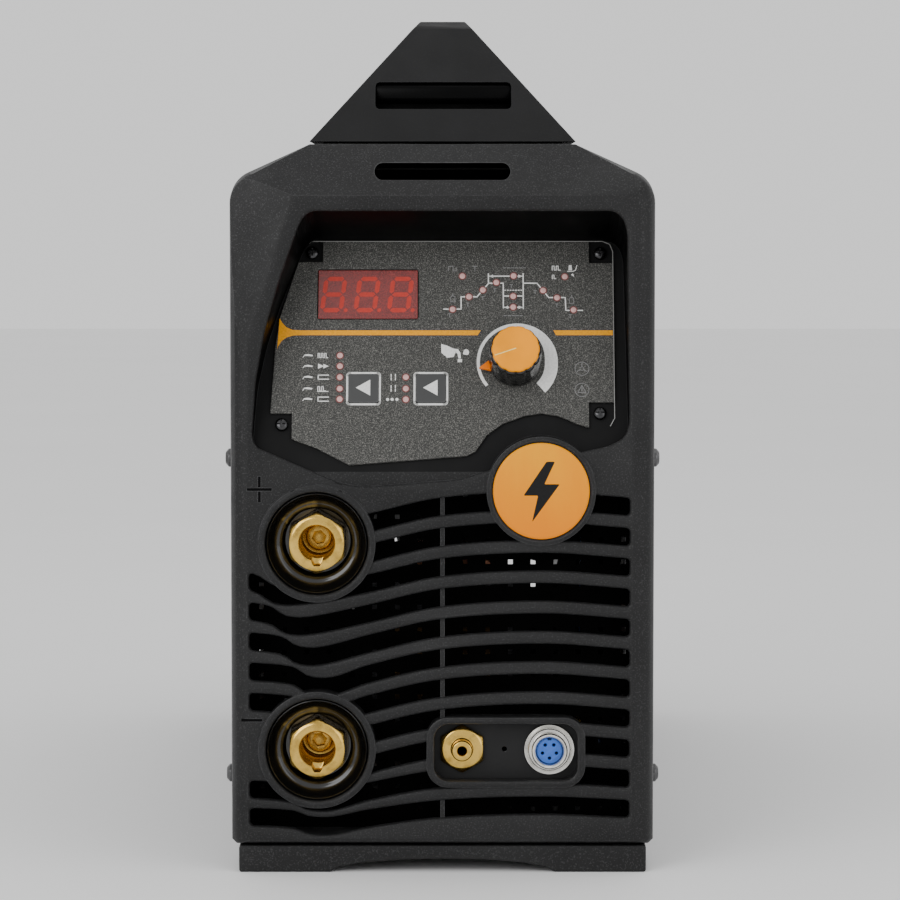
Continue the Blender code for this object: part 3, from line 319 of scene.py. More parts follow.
class Graph:
    """A small helper for building a material's nodes."""

    def __init__(self, name):
        self.material = bpy.data.materials.new(name)
        self.material.use_nodes = True
        self.nodes = self.material.node_tree.nodes
        self.links = self.material.node_tree.links
        self.shader = self.nodes["Principled BSDF"]
        self.place = self.add("ShaderNodeTexCoord").outputs["Object"]

    def add(self, kind, **settings):
        """A node, with its properties set."""
        node = self.nodes.new(kind)
        for key, value in settings.items():
            setattr(node, key, value)
        return node

    def noise(self, size_mm, detail=2.0, stretch=(1.0, 1.0, 1.0), rough=0.55):
        """Noise whose lumps are about a size across."""
        mapping = self.add("ShaderNodeMapping")
        mapping.inputs["Scale"].default_value = stretch
        self.links.new(self.place, mapping.inputs["Vector"])
        noise = self.add("ShaderNodeTexNoise")
        noise.inputs["Scale"].default_value = 1.0 / (size_mm * MM)
        noise.inputs["Detail"].default_value = detail
        noise.inputs["Roughness"].default_value = rough
        self.links.new(mapping.outputs["Vector"], noise.inputs["Vector"])
        return noise.outputs["Fac"]

    def ramp(self, value, low, high, out_low=0.0, out_high=1.0):
        """Map a value from one range to another, held at its ends."""
        node = self.add("ShaderNodeMapRange")
        node.inputs["From Min"].default_value = low
        node.inputs["From Max"].default_value = high
        node.inputs["To Min"].default_value = out_low
        node.inputs["To Max"].default_value = out_high
        self.links.new(value, node.inputs["Value"])
        return node.outputs["Result"]

    def mix(self, factor, first, second):
        """Mix two colours, each a socket or a tuple."""
        node = self.add("ShaderNodeMix", data_type="RGBA")
        self.links.new(factor, node.inputs["Factor"])
        for value, spot in ((first, "A"), (second, "B")):
            if isinstance(value, tuple):
                node.inputs[6 if spot == "A" else 7].default_value = (*value, 1.0)
            else:
                self.links.new(value, node.inputs[6 if spot == "A" else 7])
        return node.outputs[2]

    def edge(self, radius_mm):
        """A mask that is 1 on sharp edges."""
        bevel = self.add("ShaderNodeBevel", samples=4)
        bevel.inputs["Radius"].default_value = radius_mm * MM
        geometry = self.add("ShaderNodeNewGeometry")
        dot = self.add("ShaderNodeVectorMath", operation="DOT_PRODUCT")
        self.links.new(bevel.outputs["Normal"], dot.inputs[0])
        self.links.new(geometry.outputs["Normal"], dot.inputs[1])
        return self.ramp(dot.outputs["Value"], 0.985, 0.86)

    def times(self, first, second):
        """Product of two values, each a socket or a number."""
        node = self.add("ShaderNodeMath", operation="MULTIPLY")
        for spot, value in enumerate((first, second)):
            if isinstance(value, (int, float)):
                node.inputs[spot].default_value = value
            else:
                self.links.new(value, node.inputs[spot])
        return node.outputs["Value"]

    def bump(self, height, distance_mm, strength=1.0, normal=None):
        """Add a bump, on top of an earlier one when given."""
        node = self.add("ShaderNodeBump")
        node.inputs["Distance"].default_value = distance_mm * MM
        node.inputs["Strength"].default_value = strength
        self.links.new(height, node.inputs["Height"])
        if normal is not None:
            self.links.new(normal, node.inputs["Normal"])
        self.links.new(node.outputs["Normal"], self.shader.inputs["Normal"])
        return node.outputs["Normal"]

    def colour(self, socket):
        """Feed the base colour."""
        self.links.new(socket, self.shader.inputs["Base Color"])

    def roughness(self, socket):
        """Feed the roughness."""
        self.links.new(socket, self.shader.inputs["Roughness"])

    def patchy(self, size_mm, detail, low, high):
        """Roughness that drifts between two values in patches."""
        self.roughness(self.ramp(self.noise(size_mm, detail), 0.3, 0.7, low, high))

    def fixed(self, name, value):
        """Set one of the shader's own values."""
        self.shader.inputs[name].default_value = value


def shade(rgb, factor):
    """A colour made lighter or darker."""
    return tuple(min(1.0, c * factor) for c in rgb)


def moulded(name, rgb, roughness, grain_mm=0.45, grain_depth=0.02, fleck=0.0, edge_wear_and_highlight=0.5, specular=0.5):
    """Moulded plastic: cloudy colour, fine grain, faint flecks, and edges painted lighter, partly as rubbed
    wear and partly as a painted highlight.
    """
    g = Graph(name)
    cloud = g.ramp(g.noise(28.0, 3.0), 0.35, 0.65)
    base = g.mix(cloud, shade(rgb, 0.86), shade(rgb, 1.14))
    grain = g.noise(grain_mm, 2.0)
    if fleck:
        spots = g.ramp(g.noise(grain_mm * 1.1, 1.0), 0.56, 0.70, 0.0, fleck)
        base = g.mix(spots, base, shade(rgb, 7.0))
    # Edges painted lighter: partly rubbed wear, partly a painted highlight where the edges catch the light.
    rubbed_and_highlit_edges = g.times(g.edge(0.55), g.ramp(g.noise(6.0, 4.0), 0.38, 0.60, edge_wear_and_highlight * 0.45, edge_wear_and_highlight))
    base = g.mix(rubbed_and_highlit_edges, base, shade(rgb, 7.0))
    g.colour(base)
    g.patchy(9.0, 4.0, roughness - 0.05, roughness + 0.06)
    g.fixed("Specular IOR Level", specular)
    soft = g.bump(g.noise(5.0, 2.0), 0.03, 0.25)
    g.bump(grain, grain_depth, 0.8, soft)
    return g.material


def glossy(name, rgb, roughness=0.12, coat=0.3, dust=0.10):
    """Gloss plastic with fine dust and hairline rubs."""
    g = Graph(name)
    dust = g.ramp(g.noise(1.1, 4.0), 0.62, 0.8, 0.0, dust)
    g.colour(g.mix(dust, rgb, (0.20, 0.20, 0.20)))
    g.roughness(g.ramp(g.noise(3.0, 5.0, (1.0, 6.0, 1.0)), 0.3, 0.75, roughness * 0.7, roughness * 1.9))
    g.fixed("Coat Weight", coat)
    g.fixed("Coat Roughness", 0.08)
    g.bump(g.noise(7.0, 2.0), 0.02, 0.2)
    return g.material


def metal(name, rgb, roughness, brush=(1.0, 12.0, 1.0), tarnish=None, edge_wear_and_highlight=0.35, depth=0.012):
    """Machined or plated metal, with tool marks, patches of tarnish, and edges painted brighter: partly worn,
    partly a painted highlight.
    """
    g = Graph(name)
    marks = g.noise(0.9, 4.0, brush, 0.7)
    patch = g.ramp(g.noise(4.5, 4.0), 0.45, 0.70)
    dull = tarnish if tarnish else shade(rgb, 0.72)
    base = g.mix(patch, rgb, dull)
    # Edges painted brighter: partly worn metal, partly a painted highlight.
    base = g.mix(g.times(g.edge(0.3), edge_wear_and_highlight), base, shade(rgb, 1.35))
    g.colour(base)
    g.roughness(g.ramp(marks, 0.3, 0.7, roughness * 0.7, roughness * 1.45))
    g.fixed("Metallic", 1.0)
    g.bump(marks, depth, 0.7)
    return g.material


def coated(name, rgb, roughness, specular=0.20, chipped=0.8):
    """Powder-coated sheet: orange peel, fine pits and chipped edges."""
    g = Graph(name)
    base = g.mix(g.ramp(g.noise(40.0, 3.0), 0.35, 0.65), shade(rgb, 0.88), shade(rgb, 1.12))
    pits = g.ramp(g.noise(0.5, 2.0), 0.66, 0.8, 0.0, 0.5)
    base = g.mix(pits, base, shade(rgb, 2.2))
    chips = g.times(g.edge(0.5), g.ramp(g.noise(3.0, 5.0), 0.52, 0.60, 0.0, chipped))
    g.colour(g.mix(chips, base, (0.28, 0.28, 0.28)))
    g.patchy(6.0, 4.0, roughness - 0.07, roughness + 0.08)
    g.fixed("Specular IOR Level", specular)
    peel = g.bump(g.noise(1.6, 2.0), 0.035, 0.5)
    g.bump(g.noise(0.35, 1.0), 0.012, 0.6, peel)
    return g.material


def film(name):
    """Printed panel film: dark grey with a fine silver speckle."""
    g = Graph(name)
    speck = g.ramp(g.noise(0.36, 2.0), 0.48, 0.68, 0.0, 0.85)
    base = g.mix(speck, (0.034, 0.034, 0.032), (0.205, 0.202, 0.186))
    dark = g.ramp(g.noise(0.55, 1.0), 0.55, 0.75, 0.0, 0.6)
    g.colour(g.mix(dark, base, (0.018, 0.019, 0.019)))
    g.patchy(5.0, 3.0, 0.34, 0.46)
    g.fixed("Specular IOR Level", 0.22)
    g.bump(g.noise(0.4, 2.0), 0.01, 0.5)
    return g.material


def printed(name, rgb, roughness=0.45):
    """Screen-printed ink, a little uneven."""
    g = Graph(name)
    g.fixed("Specular IOR Level", 0.12)
    g.colour(g.mix(g.ramp(g.noise(0.8, 3.0), 0.35, 0.7), rgb, shade(rgb, 0.80)))
    g.patchy(1.5, 2.0, roughness - 0.05, roughness + 0.08)
    g.bump(g.noise(0.3, 1.0), 0.006, 0.4)
    return g.material


def display_window():
    """Dull red filter over the unlit digits, with its fine dot grid."""
    g = Graph("display_red")
    cells = g.ramp(g.noise(0.5, 1.0), 0.40, 0.62)
    base = g.mix(cells, (0.090, 0.009, 0.009), (0.22, 0.020, 0.018))
    glow = g.ramp(g.noise(6.0, 2.0), 0.30, 0.70, 0.0, 0.35)
    g.colour(g.mix(glow, base, (0.26, 0.030, 0.027)))
    g.patchy(2.0, 2.0, 0.18, 0.30)
    g.fixed("Coat Weight", 0.4)
    g.bump(g.noise(0.5, 1.0), 0.008, 0.4)
    return g.material


def badge_orange():
    """Orange disc that fades to yellow towards its top."""
    g = Graph("badge_orange")
    split = g.add("ShaderNodeSeparateXYZ")
    g.links.new(g.place, split.inputs["Vector"])
    height = g.ramp(split.outputs["Z"], (BADGE[1] - 16.0) * MM, (BADGE[1] + 14.0) * MM)
    base = g.mix(height, (0.80, 0.230, 0.0), (0.88, 0.350, 0.002))
    streak = g.ramp(g.noise(9.0, 3.0, (1.0, 1.0, 0.3)), 0.35, 0.65, 0.0, 0.35)
    g.colour(g.mix(streak, base, (0.78, 0.215, 0.0)))
    g.patchy(3.0, 3.0, 0.28, 0.40)
    g.fixed("Specular IOR Level", 0.12)
    g.bump(g.noise(0.6, 2.0), 0.008, 0.4)
    return g.material


def circuit_board():
    """Green solder mask with tracks and pads."""
    g = Graph("board_green")
    brick = g.add("ShaderNodeTexBrick")
    brick.inputs["Scale"].default_value = 260.0
    brick.inputs["Color1"].default_value = (0.012, 0.090, 0.030, 1.0)
    brick.inputs["Color2"].default_value = (0.018, 0.120, 0.040, 1.0)
    brick.inputs["Mortar"].default_value = (0.05, 0.22, 0.08, 1.0)
    brick.inputs["Mortar Size"].default_value = 0.03
    g.links.new(g.place, brick.inputs["Vector"])
    pads = g.ramp(g.noise(3.0, 1.0), 0.68, 0.72)
    g.colour(g.mix(pads, brick.outputs["Color"], (0.60, 0.58, 0.50)))
    g.patchy(2.0, 2.0, 0.28, 0.45)
    g.bump(brick.outputs["Fac"], 0.03, 0.5)
    return g.material


def wound_tape():
    """Varnished winding with the turns showing through."""
    g = Graph("winding_tape")
    wave = g.add("ShaderNodeTexWave", bands_direction="Z")
    wave.inputs["Scale"].default_value = 160.0
    wave.inputs["Distortion"].default_value = 0.6
    g.links.new(g.place, wave.inputs["Vector"])
    g.colour(g.mix(wave.outputs["Fac"], (0.050, 0.024, 0.006), (0.105, 0.058, 0.014)))
    g.patchy(4.0, 2.0, 0.35, 0.55)
    g.bump(wave.outputs["Fac"], 0.2, 0.6)
    return g.material


MAT = {
    "case": moulded(
        "case_plastic", (0.0125, 0.0125, 0.0128), 0.44, 0.50, 0.060, fleck=0.30, edge_wear_and_highlight=0.75, specular=0.20),
    "case_smooth": moulded(
        "case_plastic_smooth", (0.0085, 0.0085, 0.0088), 0.38, 0.5, 0.014, fleck=0.05, specular=0.15),
    # Near-black painted shade, for the pocket walls, the strap bars and the bottoms of the moulded signs.
    "pocket": moulded("pocket_painted_shade", (0.0010, 0.0010, 0.0011), 0.34, 0.5, 0.012, edge_wear_and_highlight=0.2, specular=0.06),
    "pocket_floor": moulded(
        "pocket_floor_plastic", (0.0110, 0.0110, 0.0112), 0.46, 0.5, 0.014, specular=0.05),
    "film": film("panel_film"),
    "gloss": glossy("gloss_black", (0.003, 0.003, 0.003), dust=0.03),
    "knob": glossy("knob_black", (0.0035, 0.0035, 0.0035), 0.20, 0.12, dust=0.02),
    "orange": moulded("orange_plastic", (0.80, 0.170, 0.0), 0.36, 0.5, 0.008, edge_wear_and_highlight=0.05, specular=0.1),
    "orange_gloss": moulded("orange_gloss", (0.84, 0.295, 0.0), 0.34, 0.5, 0.004, edge_wear_and_highlight=0.0, specular=0.08),
    "brass_dark": metal("brass_dark", (0.50, 0.31, 0.075), 0.22, (1.0, 8.0, 1.0), (0.26, 0.15, 0.035)),
    "ink_white": printed("ink_white", (0.80, 0.80, 0.78)),
    "ink_orange": printed("ink_orange", (0.86, 0.36, 0.006), 0.35),
    "ink_grey": printed("ink_grey", (0.22, 0.22, 0.22)),
    "ink_black": printed("ink_black", (0.012, 0.012, 0.012)),
    "ink_cream": printed("ink_cream", (0.92, 0.72, 0.22)),
    # Light grey for the painted highlight along the film's edge.
    "painted_edge_highlight": printed("painted_edge_highlight", (0.30, 0.30, 0.29)),
    "lamp_rim": printed("lamp_rim", (0.16, 0.055, 0.050)),
    "led": printed("led_lens", (0.66, 0.40, 0.38), 0.2),
    "digit": printed("digit_red", (0.50, 0.055, 0.042), 0.35),
    "display": display_window(),
    "badge": badge_orange(),
    "brass": metal("brass", (0.66, 0.43, 0.10), 0.19, (1.0, 10.0, 1.0), (0.40, 0.25, 0.055)),
    "copper": metal("copper", (0.72, 0.33, 0.20), 0.34, (1.0, 8.0, 1.0), (0.40, 0.17, 0.10)),
    "nickel": metal("nickel", (0.70, 0.69, 0.66), 0.20, (1.0, 9.0, 1.0), (0.50, 0.49, 0.46)),
    "black_steel": metal("blackened_steel", (0.110, 0.110, 0.112), 0.28, (1.0, 3.0, 1.0), (0.05, 0.05, 0.05)),
    "screw_head": metal(
        "panel_screw_steel", (0.060, 0.060, 0.062), 0.22, (1.0, 3.0, 1.0), (0.035, 0.035, 0.036), edge_wear_and_highlight=0.9),
    "zinc": metal("zinc_steel", (0.60, 0.61, 0.62), 0.34, (3.0, 3.0, 3.0), (0.44, 0.45, 0.45)),
    "aluminium": metal(
        "heatsink_anodised", (0.040, 0.040, 0.043), 0.42, (1.0, 0.05, 1.0), (0.030, 0.030, 0.032)),
    "coated": coated("coated_steel", (0.0120, 0.0120, 0.0124), 0.50),
    # Near-black painted shade: the perforated sheet behind the louvres keeps the inside dark.
    "painted_shade_screen": coated("screen_painted_shade", (0.0009, 0.0009, 0.0009), 0.70, 0.03, 0.004),
    "blue": moulded("insert_blue", (0.030, 0.115, 0.46), 0.42, 0.4, 0.01, edge_wear_and_highlight=0.1),
    "board": circuit_board(),
    "ferrite": moulded("ferrite", (0.050, 0.050, 0.054), 0.55, 0.7, 0.02),
    "tape": wound_tape(),
    "sleeve": glossy("capacitor_sleeve", (0.02, 0.035, 0.12), 0.28, 0.1),
    "hose": moulded("hose_blue", (0.030, 0.10, 0.28), 0.38, 0.8, 0.01),
    "fan": moulded("fan_plastic", (0.014, 0.014, 0.014), 0.45, 0.5, 0.01),
    "key": moulded("key_rubber", (0.035, 0.036, 0.036), 0.50, 0.4, 0.01),
    "rocker": glossy("rocker_black", (0.010, 0.010, 0.010), 0.30, 0.1),
}


# ---------------------------------------------------------------- front moulding

def half_to_whole(right_half):
    """Mirror a right-hand half outline, top to bottom, into a closed one."""
    return right_half + [(-x, z) for x, z in reversed(right_half)]


def front_outline(inset=0.0, steps=12):
    """The flat front face, inside the edge bevel."""
    side = HALF_WIDTH - EDGE
    bottom = CASE_BOTTOM + 2.1 + inset
    right = [(TOP_HALF, CREASE_Z - inset)]
    right += arc((side - 7.0, CREASE_Z - 7.0), 7.0 - inset, 90, 0, steps)
    right += [(side - inset, bottom + 1.5), (side - inset - 1.5, bottom)]
    return half_to_whole(right)


def shoulder_outline(top_z, arc_centre_z, start_deg, inset=0.0, steps=12):
    """A full-width outline whose shoulders slope down from the top."""
    bottom = CASE_BOTTOM + inset
    right = [(TOP_HALF - 0.2 * inset, top_z - inset)]
    right += arc((HALF_WIDTH - 11.0, arc_centre_z), 11.0 - inset, start_deg, 0, steps)
    right += [(HALF_WIDTH - inset, bottom + 1.5), (HALF_WIDTH - inset - 1.5, bottom)]
    return half_to_whole(right)


def moulding(direction, end_y, inner_y, inset):
    """The front (direction -1) or rear (+1) moulding's shape, or its hollow when inset."""
    part_up = CREASE_Z + (CASE_TOP - CREASE_Z) * EDGE / LEAN_DEPTH
    full = shoulder_outline(CASE_TOP, 251.3, 66, inset)
    middle = shoulder_outline(part_up, 250.0, 78, inset)
    face = front_outline(inset)
    rings = [(end_y, face)]
    for turn in (18.0, 42.0, 66.0):
        share = math.sin(math.radians(turn))
        back = EDGE * (1.0 - math.cos(math.radians(turn)))
        blend = [tuple(Vector(a).lerp(Vector(b), share)) for a, b in zip(face, middle)]
        up = (CASE_TOP - CREASE_Z) * back / LEAN_DEPTH
        blend = [(x, min(z, CREASE_Z - inset + up) if z > CREASE_Z - inset - 0.01 else z) for x, z in blend]
        rings.append((end_y - back, blend))
    rings += [(end_y - EDGE, middle), (end_y - LEAN_DEPTH, full), (inner_y, full)]
    mesh = skin([[(x, direction * y, z) for x, z in ring] for y, ring in rings])
    bmesh.ops.triangulate(mesh, faces=[f for f in mesh.faces if len(f.verts) == 4])
    return mesh


def wave(x, slot):
    """How far a louvre's lower edge stands above its right-hand end."""
    strength = {SLOT_COUNT - 2: 0.8, SLOT_COUNT - 1: 0.6}.get(slot, 1.0)
    kink = min(-62.7 + 4.2 * max(slot - 2, 0), -50.0)
    anchors = [
        (SLOT_LEFT - 1.0, -4.8), (kink - 5.5, -6.6), (kink, -10.0), (kink + 9.0, -10.4),
        (-28.0, -6.0), (-1.0, 0.0), (37.0, 2.2), (SLOT_RIGHT + 1.0, 0.0),
    ]
    i = next(k for k in range(len(anchors) - 1) if x <= anchors[k + 1][0])
    before, start = anchors[max(i - 1, 0)], anchors[i]
    end, after = anchors[i + 1], anchors[min(i + 2, len(anchors) - 1)]
    span = end[0] - start[0]
    t = (x - start[0]) / span
    slope_in = (end[1] - before[1]) / (end[0] - before[0]) * span
    slope_out = (after[1] - start[1]) / (after[0] - start[0]) * span
    height = (
        (2 * t ** 3 - 3 * t ** 2 + 1) * start[1] + (t ** 3 - 2 * t ** 2 + t) * slope_in
        + (3 * t ** 2 - 2 * t ** 3) * end[1] + (t ** 3 - t ** 2) * slope_out
    )
    return strength * height


def louvre(slot, steps=56, corner=1.6):
    """One wavy slot's cutter: round ends, and a flared mouth for a soft front edge."""
    beside_ring = slot in (0, 1, 7, 8)
    left = PLUS[0] + 8.0 if beside_ring else SLOT_LEFT
    base = FIRST_SLOT_Z - SLOT_PITCH * slot
    rings = []
    for y, grow in ((-FACE_Y - 2.5, 0.9), (-FACE_Y, 0.9), (-FACE_Y + 0.25, 0.42), (-FACE_Y + 0.7, 0.12),
                    (-FACE_Y + 1.2, 0.0), (-FACE_Y + FRONT_WALL + 1.0, 0.0)):
        low_x = left - grow
        high_x = SLOT_RIGHT + grow
        ends = [corner * (1.0 - math.cos(math.radians(a))) for a in (0, 22.5, 45, 67.5, 90)]
        inner = [low_x + corner + (high_x - low_x - 2 * corner) * i / steps for i in range(1, steps)]
        spots = [low_x + e for e in ends] + inner + [high_x - e for e in reversed(ends)]
        lower = []
        upper = []
        for x in spots:
            from_end = min(x - low_x, high_x - x)
            short = max(corner - from_end, 0.0)
            pinch = corner - math.sqrt(max(corner ** 2 - short ** 2, 0.0))
            clamped = min(max(x, SLOT_LEFT), SLOT_RIGHT)
            height = base + wave(clamped, slot)
            lower.append((x, y, height + pinch - grow))
            upper.append((x, y, height + SLOT_HEIGHT - pinch + grow))
        rings.append(lower + upper[::-1])
    return skin(rings)


def pocket_outline():
    """The panel pocket in the panel's own plane: across and up."""
    corners = [
        (-29.8, -8.0), (6.5, -5.3), (16.5, -2.1), (53.5, 4.8), (62.0, 6.5), (67.5, 9.4), (69.3, 14.0),
        (68.3, 80.7), (67.0, 85.5), (63.8, 88.3), (-48.5, 88.3), (-51.6, 86.2), (-53.5, 82.4),
        (-60.6, 63.5), (-66.0, 46.1), (-69.3, 28.9), (-70.6, 9.5), (-69.0, 6.0), (-38.4, -6.5),
    ]
    return smooth_outline(corners, 4.0, 4)


def flared(outline, levels):
    """A cutter along Y whose outline grows towards the front: (y, growth) pairs."""
    return skin([[(x, y, z) for x, z in offset_outline(outline, grow)] for y, grow in levels])


def make_front_bezel():
    """The moulded front: shell, panel pocket, louvres, rings and pill."""
    bezel = new_object("front_shell", moulding(-1, FACE_Y, SKIRT_Y, 0.0), MAT["case"])
    cut_facet(bezel, 0.0)
    hollow = new_object("hollow", moulding(-1, FACE_Y - FRONT_WALL, SKIRT_Y - 5.0, WALL))
    cut_facet(hollow, 2.4)
    boolean(bezel, "DIFFERENCE", taken(hollow))

    wall = new_object("wall", prism_y(offset_outline(pocket_outline(), 2.4), -60.0, FLOOR_BACK), matrix=PANEL)
    reach = HALF_WIDTH - 1.2
    limit = box((-reach, -FACE_Y + 0.8, CASE_BOTTOM + 1.0), (reach, -150.0, CREASE_Z - 1.0))
    boolean(wall, "INTERSECT", limit)
    boolean(bezel, "UNION", taken(wall))
    boolean(bezel, "DIFFERENCE", prism_y(pocket_outline(), -60.0, FLOOR), PANEL)
    boolean(bezel, "DIFFERENCE", pocket_rim())
    boolean(bezel, "DIFFERENCE", merged(*[louvre(i) for i in range(SLOT_COUNT)]))
    boolean(bezel, "UNION", box((-0.8, -FACE_Y + 1.8, 14.0), (0.8, -FACE_Y + 6.0, 141.0)))

    rings = []
    for spot in (PLUS, MINUS):
        rings.append(turned([
            (SOCKET_RING - 0.6, -RIM_Y), (SOCKET_RING - 0.15, -RIM_Y + 0.2), (SOCKET_RING, -RIM_Y + 0.7),
            (SOCKET_RING, -RIM_Y + 9.0),
        ], 96, spot))
    rings.append(turned([
        (BADGE_RING - 0.6, -RIM_Y), (BADGE_RING - 0.15, -RIM_Y + 0.2), (BADGE_RING, -RIM_Y + 0.7),
        (BADGE_RING, -RIM_Y + 8.5),
    ], 96, BADGE))
    pill = rounded_box(PILL_CENTRE, PILL_HALF, 8.0, 12)
    levels = ((-RIM_Y, -0.5), (-RIM_Y + 0.2, -0.12), (-RIM_Y + 0.6, 0.0), (PLATE_FRONT - 0.3, 0.0))
    rings.append(flared(pill, levels))
    boolean(bezel, "UNION", merged(*rings))

    pill_inner = rounded_box(PILL_CENTRE, (PILL_HALF[0] - 2.9, PILL_HALF[1] - 2.5), 5.6, 12)
    levels = ((-RIM_Y - 1.0, 0.8), (-RIM_Y, 0.8), (-RIM_Y + 0.3, 0.25), (-RIM_Y + 0.8, 0.0), (-200.0, 0.0))
    bores = [flared(pill_inner, levels)]
    for spot in (PLUS, MINUS):
        bores.append(turned([
            (SOCKET_BORE + 0.9, -RIM_Y - 1.0), (SOCKET_BORE + 0.9, -RIM_Y), (SOCKET_BORE + 0.3, -RIM_Y + 0.35),
            (SOCKET_BORE, -RIM_Y + 0.9), (SOCKET_BORE, -195.0),
        ], 96, spot))
    seat = [(18.9, -RIM_Y - 1.0), (18.9, -RIM_Y), (18.4, -RIM_Y + 0.4), (18.3, -RIM_Y + 1.7)]
    bores.append(turned(seat, 96, BADGE))
    bores.append(flared(rounded_box((0.0, 261.6), (25.2, 3.2), 3.1, 10), ((-RIM_Y - 1.0, 0.0), (-190.0, 0.0))))
    boolean(bezel, "DIFFERENCE", merged(*bores))

    shanks = [turned([(1.6, -1.0), (1.6, 8.0)], 20, spot) for spot in PANEL_SCREWS.values()]
    window = merged(box((-50.0, -1.0, 22.0), (54.0, 8.0, 79.0)), *shanks)
    boolean(bezel, "DIFFERENCE", window, PANEL)
    holes = []
    for side in (-1, 1):
        for height in (154.0, 34.0):
            round_hole = circle(2.3, 24, (-190.0, height))
            holes.append(skin([[(side * x, y, z) for y, z in round_hole] for x in (70.0, 85.0)]))
    boolean(bezel, "DIFFERENCE", merged(*holes))
    boolean(bezel, "DIFFERENCE", polarity_marks())
    soften(bezel, 0.0, smooth=32.0)
    paint_pocket_shade(bezel)
    piece("front_shell", bezel, "case", "case_plastic", "front_bezel")


def taken(item):
    """An object's shape as a bmesh in millimetres, where it stands; the object goes."""
    mesh = bmesh.new()
    mesh.from_mesh(item.data)
    mesh.transform(item.matrix_world)
    bmesh.ops.scale(mesh, vec=(1.0 / MM, 1.0 / MM, 1.0 / MM), verts=mesh.verts)
    bpy.data.objects.remove(item, do_unlink=True)
    return mesh


def pocket_rim():
    """A soft rim round the pocket's mouth: its outline on the face, flared outwards."""
    mouth = []
    for u, v in pocket_outline():
        reach = (-FACE_Y - PANEL_ORIGIN.y - UPWARD.y * v) / INWARD.y
        mouth.append((u, PANEL_ORIGIN.z + UPWARD.z * v + INWARD.z * reach))
    rings = []
    for depth, grow in ((-0.8, 1.0), (0.0, 1.0), (0.25, 0.5), (0.6, 0.16), (1.1, 0.0), (1.6, -0.3)):
        fall = depth * INWARD.z / INWARD.y
        rings.append([(x, -FACE_Y + depth, z + fall) for x, z in offset_outline(mouth, grow)])
    return skin(rings)


def paint_pocket_shade(bezel):
    """Paint shade on the pocket's walls in near-black, and give its floor a smoother, slightly darker finish.
    """
    bezel.data.materials.append(MAT["pocket"])
    bezel.data.materials.append(MAT["pocket_floor"])
    to_panel = PANEL.inverted()
    turn = to_panel.to_3x3()
    outline = [Vector(point) for point in pocket_outline()]
    for face in bezel.data.polygons:
        spot = to_panel @ face.center / MM
        level = (turn @ face.normal).y
        flat = Vector((spot.x, spot.z))
        if abs(level) < 0.08 and spot.y < FLOOR + 0.3:
            near = min(
                (flat - geometry_nearest(flat, a, b)).length for a, b in zip(outline, outline[1:] + outline[:1])
            )
            if near < 0.12:
                # The pocket walls get the near-black painted shade.
                face.material_index = 1
        elif level < -0.9 and abs(spot.y - FLOOR) < 0.1:
            face.material_index = 2


def geometry_nearest(point, a, b):
    """The nearest point of a segment."""
    share = min(max((point - a).dot(b - a) / max((b - a).length_squared, 1e-9), 0.0), 1.0)
    return a.lerp(b, share)


def cut_facet(bezel, inset):
    """Plane off the face's left edge, wide at the top and running out lower down."""
    mesh = bmesh.new()
    mesh.from_mesh(bezel.data)
    on_face = Vector((-55.7, -FACE_Y, 251.2)) * MM
    low_on_face = Vector((-73.4, -FACE_Y, 196.0)) * MM
    outer = Vector((-62.6, -FACE_Y + 2.2, 257.2)) * MM
    normal = (low_on_face - on_face).cross(outer - on_face).normalized()
    if normal.y > 0:
        normal = -normal
    everything = [*mesh.verts, *mesh.edges, *mesh.faces]
    plane = on_face - normal * inset * MM
    bmesh.ops.bisect_plane(mesh, geom=everything, plane_co=plane, plane_no=normal, clear_outer=True)
    bmesh.ops.holes_fill(mesh, edges=[e for e in mesh.edges if e.is_boundary], sides=0)
    bmesh.ops.recalc_face_normals(mesh, faces=mesh.faces)
    mesh.to_mesh(bezel.data)
    mesh.free()


def polarity_marks():
    """Shallow moulded plus and minus signs beside the sockets."""
    depth = (-FACE_Y - 1.0, -FACE_Y + 0.3)
    bars = [
        box((-72.6, depth[0], 143.3), (-63.4, depth[1], 144.3)),
        box((-75.0, depth[0], 57.0), (-67.2, depth[1], 58.0)),
    ]
    upper = box((-68.5, depth[0], 144.6), (-67.5, depth[1], 148.6))
    lower = box((-68.5, depth[0], 139.0), (-67.5, depth[1], 143.0))
    return merged(*bars, upper, lower)


# ---------------------------------------------------------------- printed panel

def stroke(points, width):
    """A drawn line: one rectangle for each straight run, as outlines."""
    outlines = []
    for a, b in zip(points, points[1:]):
        start, end = Vector(a), Vector(b)
        along = (end - start).normalized() * (width / 2.0)
        across = Vector((-along.y, along.x))
        start = start - along
        end = end + along
        corners = (start - across, end - across, end + across, start + across)
        outlines.append([tuple(corner) for corner in corners])
    return outlines


def dashes(start, end, count, width):
    """A dotted line, as short strokes."""
    outlines = []
    for i in range(count):
        a = Vector(start).lerp(Vector(end), (i + 0.2) / count)
        b = Vector(start).lerp(Vector(end), (i + 0.6) / count)
        outlines += stroke([tuple(a), tuple(b)], width)
    return outlines


def frame_line(middle, half, radius, width):
    """A rounded frame, drawn as short strokes round its middle line."""
    path = rounded_box(middle, half, radius, 5)
    return stroke(path + [path[0]], width)


def circle_line(middle, radius, width, count=28):
    """A drawn circle."""
    path = circle(radius, count, middle)
    return stroke(path + [path[0]], width)


def ink(name, outlines, finish, slot, body="case", matrix=None, front=-0.05, back=0.0):
    """A thin layer on the panel film: print, or a painted highlight."""
    mesh = merged(*[prism_y(outline, front, back) for outline in outlines])
    item = new_object(name, mesh, finish, PANEL if matrix is None else matrix)
    return piece(name, item, body, slot)


